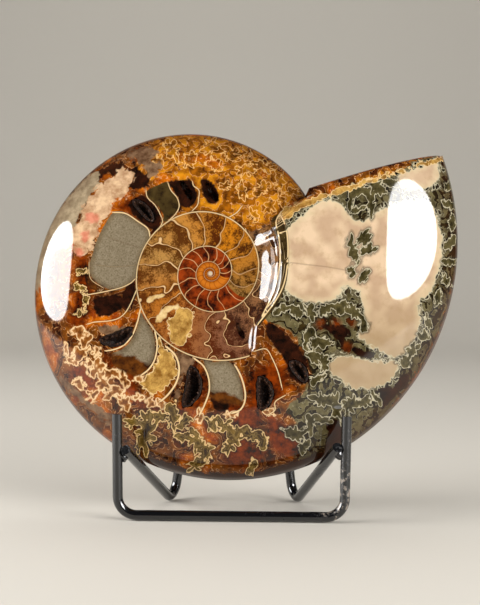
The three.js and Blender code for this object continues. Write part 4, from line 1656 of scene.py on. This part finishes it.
@dataclass
class Stand:
    """Two bent wires, welded together. Lengths are in mm, from the middle of the front bar."""

    centre_x: float = -3.9606
    centre_y: float = -21.7766
    wire_radius: float = 1.65
    bend_steps: int = 12
    end_bevel: float = 0.3
    # the front wire's right half
    post_top: Corner = Corner(36.7, 0, 34.1)
    bar_corner: Corner = Corner(36.3, 0, 1.65, 6)
    # the rear wire: where its arms end, its right foot on the ground, and the arch's right corner
    left_arm: Corner = Corner(-33.8, -1.9, 22.9)
    right_arm: Corner = Corner(33.8, -1.9, 24.3)
    foot_corner: Corner = Corner(20.8, 40.2, 0, 4.5)
    arch: Corner = Corner(11.5, 39, 74, 11.4)
    # the weld beads
    bead_radius: float = 1.75
    bead_x: float = 34.5
    bead_y: float = 0.6
    bead_heights: tuple = (20.9, 22.3)
    bead_length: float = 1.25

    def centreline(self, corners: tuple) -> list[Vector]:
        """Follow a path with its bends rounded.

        Args:
            corners: the path's corners.

        Returns:
            List of points.
        """
        points = []
        for i, corner in enumerate(corners):
            here = corner.place()
            if not corner.bend:
                points.append(here)
                continue
            before = (corners[i - 1].place() - here).normalized()
            after = (corners[i + 1].place() - here).normalized()
            half = before.angle(after) / 2
            centre = here + (before + after).normalized() * corner.bend / math.sin(half)
            start = here + before * corner.bend / math.tan(half) - centre
            axis = after.cross(before).normalized()
            sweep = math.pi - 2 * half
            for step in range(self.bend_steps + 1):
                points.append(centre + Matrix.Rotation(sweep * step / self.bend_steps, 3, axis) @ start)
        return points

    def wire(self, name: str, corners: tuple) -> Object:
        """Bend one wire.

        Args:
            name: the piece's name.
            corners: the path's corners.

        Returns:
            The wire as a mesh object at the origin.
        """
        path = self.centreline(corners)
        curve = bpy.data.curves.new(name, "CURVE")
        curve.dimensions = "3D"
        curve.bevel_depth = self.wire_radius * MM
        curve.bevel_resolution = 6
        curve.use_fill_caps = True
        spline = curve.splines.new("POLY")
        spline.points.add(len(path) - 1)
        shift = Vector((self.centre_x, self.centre_y, 0))
        for point, place in zip(spline.points, path):
            point.co = (*((place + shift) * MM), 1)
        wire = bpy.data.objects.new(name, curve)
        bpy.context.collection.objects.link(wire)
        select(wire)
        bpy.ops.object.convert(target="MESH")
        wire = bpy.context.object
        bevel = wire.modifiers.new("cut_end", "BEVEL")
        bevel.width = self.end_bevel * MM
        bevel.segments = 3
        bevel.angle_limit = math.radians(60)
        bpy.ops.object.modifier_apply(modifier=bevel.name)
        bpy.ops.object.shade_smooth_by_angle(angle=math.radians(50))
        return wire

    def bead(self, x: float, z: float) -> Object:
        """Lay a bead of weld: an uneven ball, pulled out along the post.

        Args:
            x: how far it lies to the right.
            z: its height.

        Returns:
            The bead as an object.
        """
        select()
        shift = Vector((x + self.centre_x, self.bead_y + self.centre_y, z)) * MM
        bpy.ops.mesh.primitive_ico_sphere_add(subdivisions=4, radius=self.bead_radius * MM, location=shift)
        bead = bpy.context.object
        for vertex in bead.data.vertices:
            way = vertex.co.normalized()
            vertex.co *= 1 + 0.12 * math.sin(5 * way.z + 3 * way.x) * math.cos(4 * way.y)
            vertex.co.z *= self.bead_length
        bpy.ops.object.transform_apply(location=True)
        bpy.ops.object.shade_smooth()
        return bead

    def foot(self, arm: Corner, arch: Corner) -> Corner:
        """Find a foot's corner, at the height where its round bend stands on the ground.

        Args:
            arm: the arm's end before the foot.
            arch: the arch's corner after it.

        Returns:
            The corner.
        """
        bend = self.foot_corner.bend
        corner = Vector((math.copysign(self.foot_corner.x, arm.x), self.foot_corner.y, 0))
        for _ in range(6):
            before, after = (arm.place() - corner).normalized(), (arch.place() - corner).normalized()
            lift = (before + after).normalized().z * bend / math.sin(before.angle(after) / 2)
            normal = before.cross(after).normalized()
            corner.z = self.wire_radius + bend * math.sqrt(1 - normal.z**2) - lift
        return Corner(*corner, bend)

    def build(self, finish: Material) -> None:
        """Bend both wires, weld them and dress them.

        Args:
            finish: the paint's material.
        """
        front = self.wire("front_wire", (
            self.post_top.mirrored(), self.bar_corner.mirrored(), self.bar_corner, self.post_top))
        left, right = self.arch.mirrored(), self.arch
        rear = self.wire("rear_wire", (
            self.left_arm, self.foot(self.left_arm, left), left, right, self.foot(self.right_arm, right),
            self.right_arm))
        beads = [self.bead(x, z) for x, z in zip((-self.bead_x, self.bead_x), self.bead_heights)]
        select(*beads, rear)
        bpy.ops.object.join()
        for piece, node in ((front, "front_frame"), (rear, "rear_frame")):
            piece.data.materials.clear()
            piece.data.materials.append(finish)
            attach(piece, "root")
            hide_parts(node)


class Work(Enum):
    """What a softbox is hung for. The value is the kind of ray that it is hidden from."""

    MIRROR_IMAGE = "visible_diffuse"
    LIGHT = "visible_glossy"


@dataclass(frozen=True)
class Softbox:
    """An oval softbox, aimed at the shell.

    Azimuth and elevation are in degrees, from the camera's side and from the table. The width, the
    height and the distance are in metres, and the power is in watts.
    """

    name: str
    work: Work
    azimuth: float
    elevation: float
    width: float
    height: float
    power: float
    distance: float = 0.8

    def hang(self, aim: Vector) -> Object:
        """Hang the softbox.

        Args:
            aim: what it is aimed at, in metres.

        Returns:
            The light.
        """
        data = bpy.data.lights.new(self.name, "AREA")
        data.shape = "ELLIPSE"
        data.size, data.size_y = self.width, self.height
        data.energy = self.power
        light = bpy.data.objects.new(self.name, data)
        bpy.context.collection.objects.link(light)
        turn, rise = math.radians(self.azimuth), math.radians(self.elevation)
        away = Vector((math.sin(turn) * math.cos(rise), -math.cos(turn) * math.cos(rise), math.sin(rise)))
        light.location = aim + away * self.distance
        light.rotation_euler = away.to_track_quat("Z", "Y").to_euler()
        setattr(light, self.work.value, False)
        return light


# The two windows are hung twice, so that their mirror images and their light can differ in strength
SOFTBOXES = (
    Softbox("softbox_right", Work.MIRROR_IMAGE, 50, 16, 0.66, 0.36, 12),
    Softbox("softbox_left", Work.MIRROR_IMAGE, -75, 17, 0.80, 0.48, 19),
    Softbox("key_right", Work.LIGHT, 50, 16, 0.62, 0.36, 7.4),
    Softbox("key_left", Work.LIGHT, -75, 17, 0.75, 0.45, 10.5),
    Softbox("fill", Work.LIGHT, 0, 75, 0.9, 0.9, 1.8, 1.1),
    Softbox("softbox_back", Work.LIGHT, 175, 60, 1.2, 0.6, 4, 1.1),
)


@dataclass
class Studio:
    """Camera, softboxes and the pale floor. Lengths are in metres."""

    floor_size: float = 3.0
    floor_back: float = 0.7
    floor_drop: float = 0.0002
    sweep_radius: float = 0.5
    wall_height: float = 1.0
    aim_height: float = 0.075
    room_strength: float = 0.08

    def camera(self) -> None:
        """Set the camera at the picture's angle."""
        data = bpy.data.cameras.new("camera")
        data.lens = LENS_MM
        data.sensor_width = SENSOR_MM
        data.clip_start = 0.01
        camera = bpy.data.objects.new("camera", data)
        bpy.context.collection.objects.link(camera)
        right, up, forward = camera_axes()
        turn = Matrix((right, up, -forward)).transposed().to_4x4()
        camera.matrix_world = Matrix.Translation(CAMERA_PLACE * MM) @ turn
        bpy.context.scene.camera = camera

    def floor(self) -> None:
        """Lay a floor of matt card, pale and without gloss, that sweeps up behind."""
        select()
        middle = (0, self.floor_back - self.floor_size / 2, -self.floor_drop)
        bpy.ops.mesh.primitive_plane_add(size=self.floor_size, location=middle)
        floor = bpy.context.object
        floor.name = "floor"
        bpy.ops.object.mode_set(mode="EDIT")
        bpy.ops.mesh.select_mode(type="EDGE")
        bpy.ops.mesh.select_all(action="DESELECT")
        bpy.ops.object.mode_set(mode="OBJECT")
        for edge in floor.data.edges:
            edge.select = all(floor.data.vertices[i].co.y > 0 for i in edge.vertices)
        bpy.ops.object.mode_set(mode="EDIT")
        centre = (0, self.floor_back, self.sweep_radius)
        bpy.ops.mesh.spin(steps=24, angle=math.radians(-90), center=centre, axis=(1, 0, 0))
        bpy.ops.mesh.extrude_region_move(TRANSFORM_OT_translate={"value": (0, 0, self.wall_height)})
        bpy.ops.object.mode_set(mode="OBJECT")
        bpy.ops.object.transform_apply(location=True)
        bpy.ops.object.shade_smooth()
        card = Painter("matt_card").finish({"Base Color": linear("cbc5ba"), "Roughness": 0.7})
        floor.data.materials.append(card)

    def light(self) -> None:
        """Hang the softboxes and set the dim room behind them."""
        for softbox in SOFTBOXES:
            softbox.hang(Vector((0, 0, self.aim_height)))
        world = bpy.data.worlds.new("room")
        world.use_nodes = True
        shade = world.node_tree.nodes["Background"]
        shade.inputs["Color"].default_value = linear("b4b7bb")
        shade.inputs["Strength"].default_value = self.room_strength
        bpy.context.scene.world = world
        bpy.context.scene.view_settings.view_transform = "Standard"


def main() -> None:
    """Build and dress every piece in order."""
    logging.basicConfig(level=logging.INFO, format="%(message)s")
    studio = Studio()
    studio.camera()
    studio.floor()
    studio.light()
    LOG.info("studio ready")
    shell = Shell()
    piece = shell.build()
    LOG.info("shell: %d vertices", len(piece.data.vertices))
    piece.data.materials.append(PolishedFossil().material())
    shell.carve(piece, CrystalCrust("brown_calcite_crust", "0d0503", "4a2410").material())
    LOG.info("pits cut: %d vertices", len(piece.data.vertices))
    shell.survey(piece)
    shell.dress(piece)
    druse = Druse(shell)
    crystal = CrystalCrust("calcite_druse", "080302", "5e3a22").material()
    for label, side, pits in (("front", 1, FRONT_PITS), ("back", -1, BACK_PITS)):
        for number, pit in enumerate(pit for pit in pits if pit.crystals):
            crust = druse.build(f"druse_{label}_{number + 1}", pit, side, crystal)
            LOG.info("%s: %d faces", crust.name, len(crust.data.polygons))
    Stand().build(StovedPaint().material())
    LOG.info("stand bent and painted")


if __name__ == "__main__":
    main()
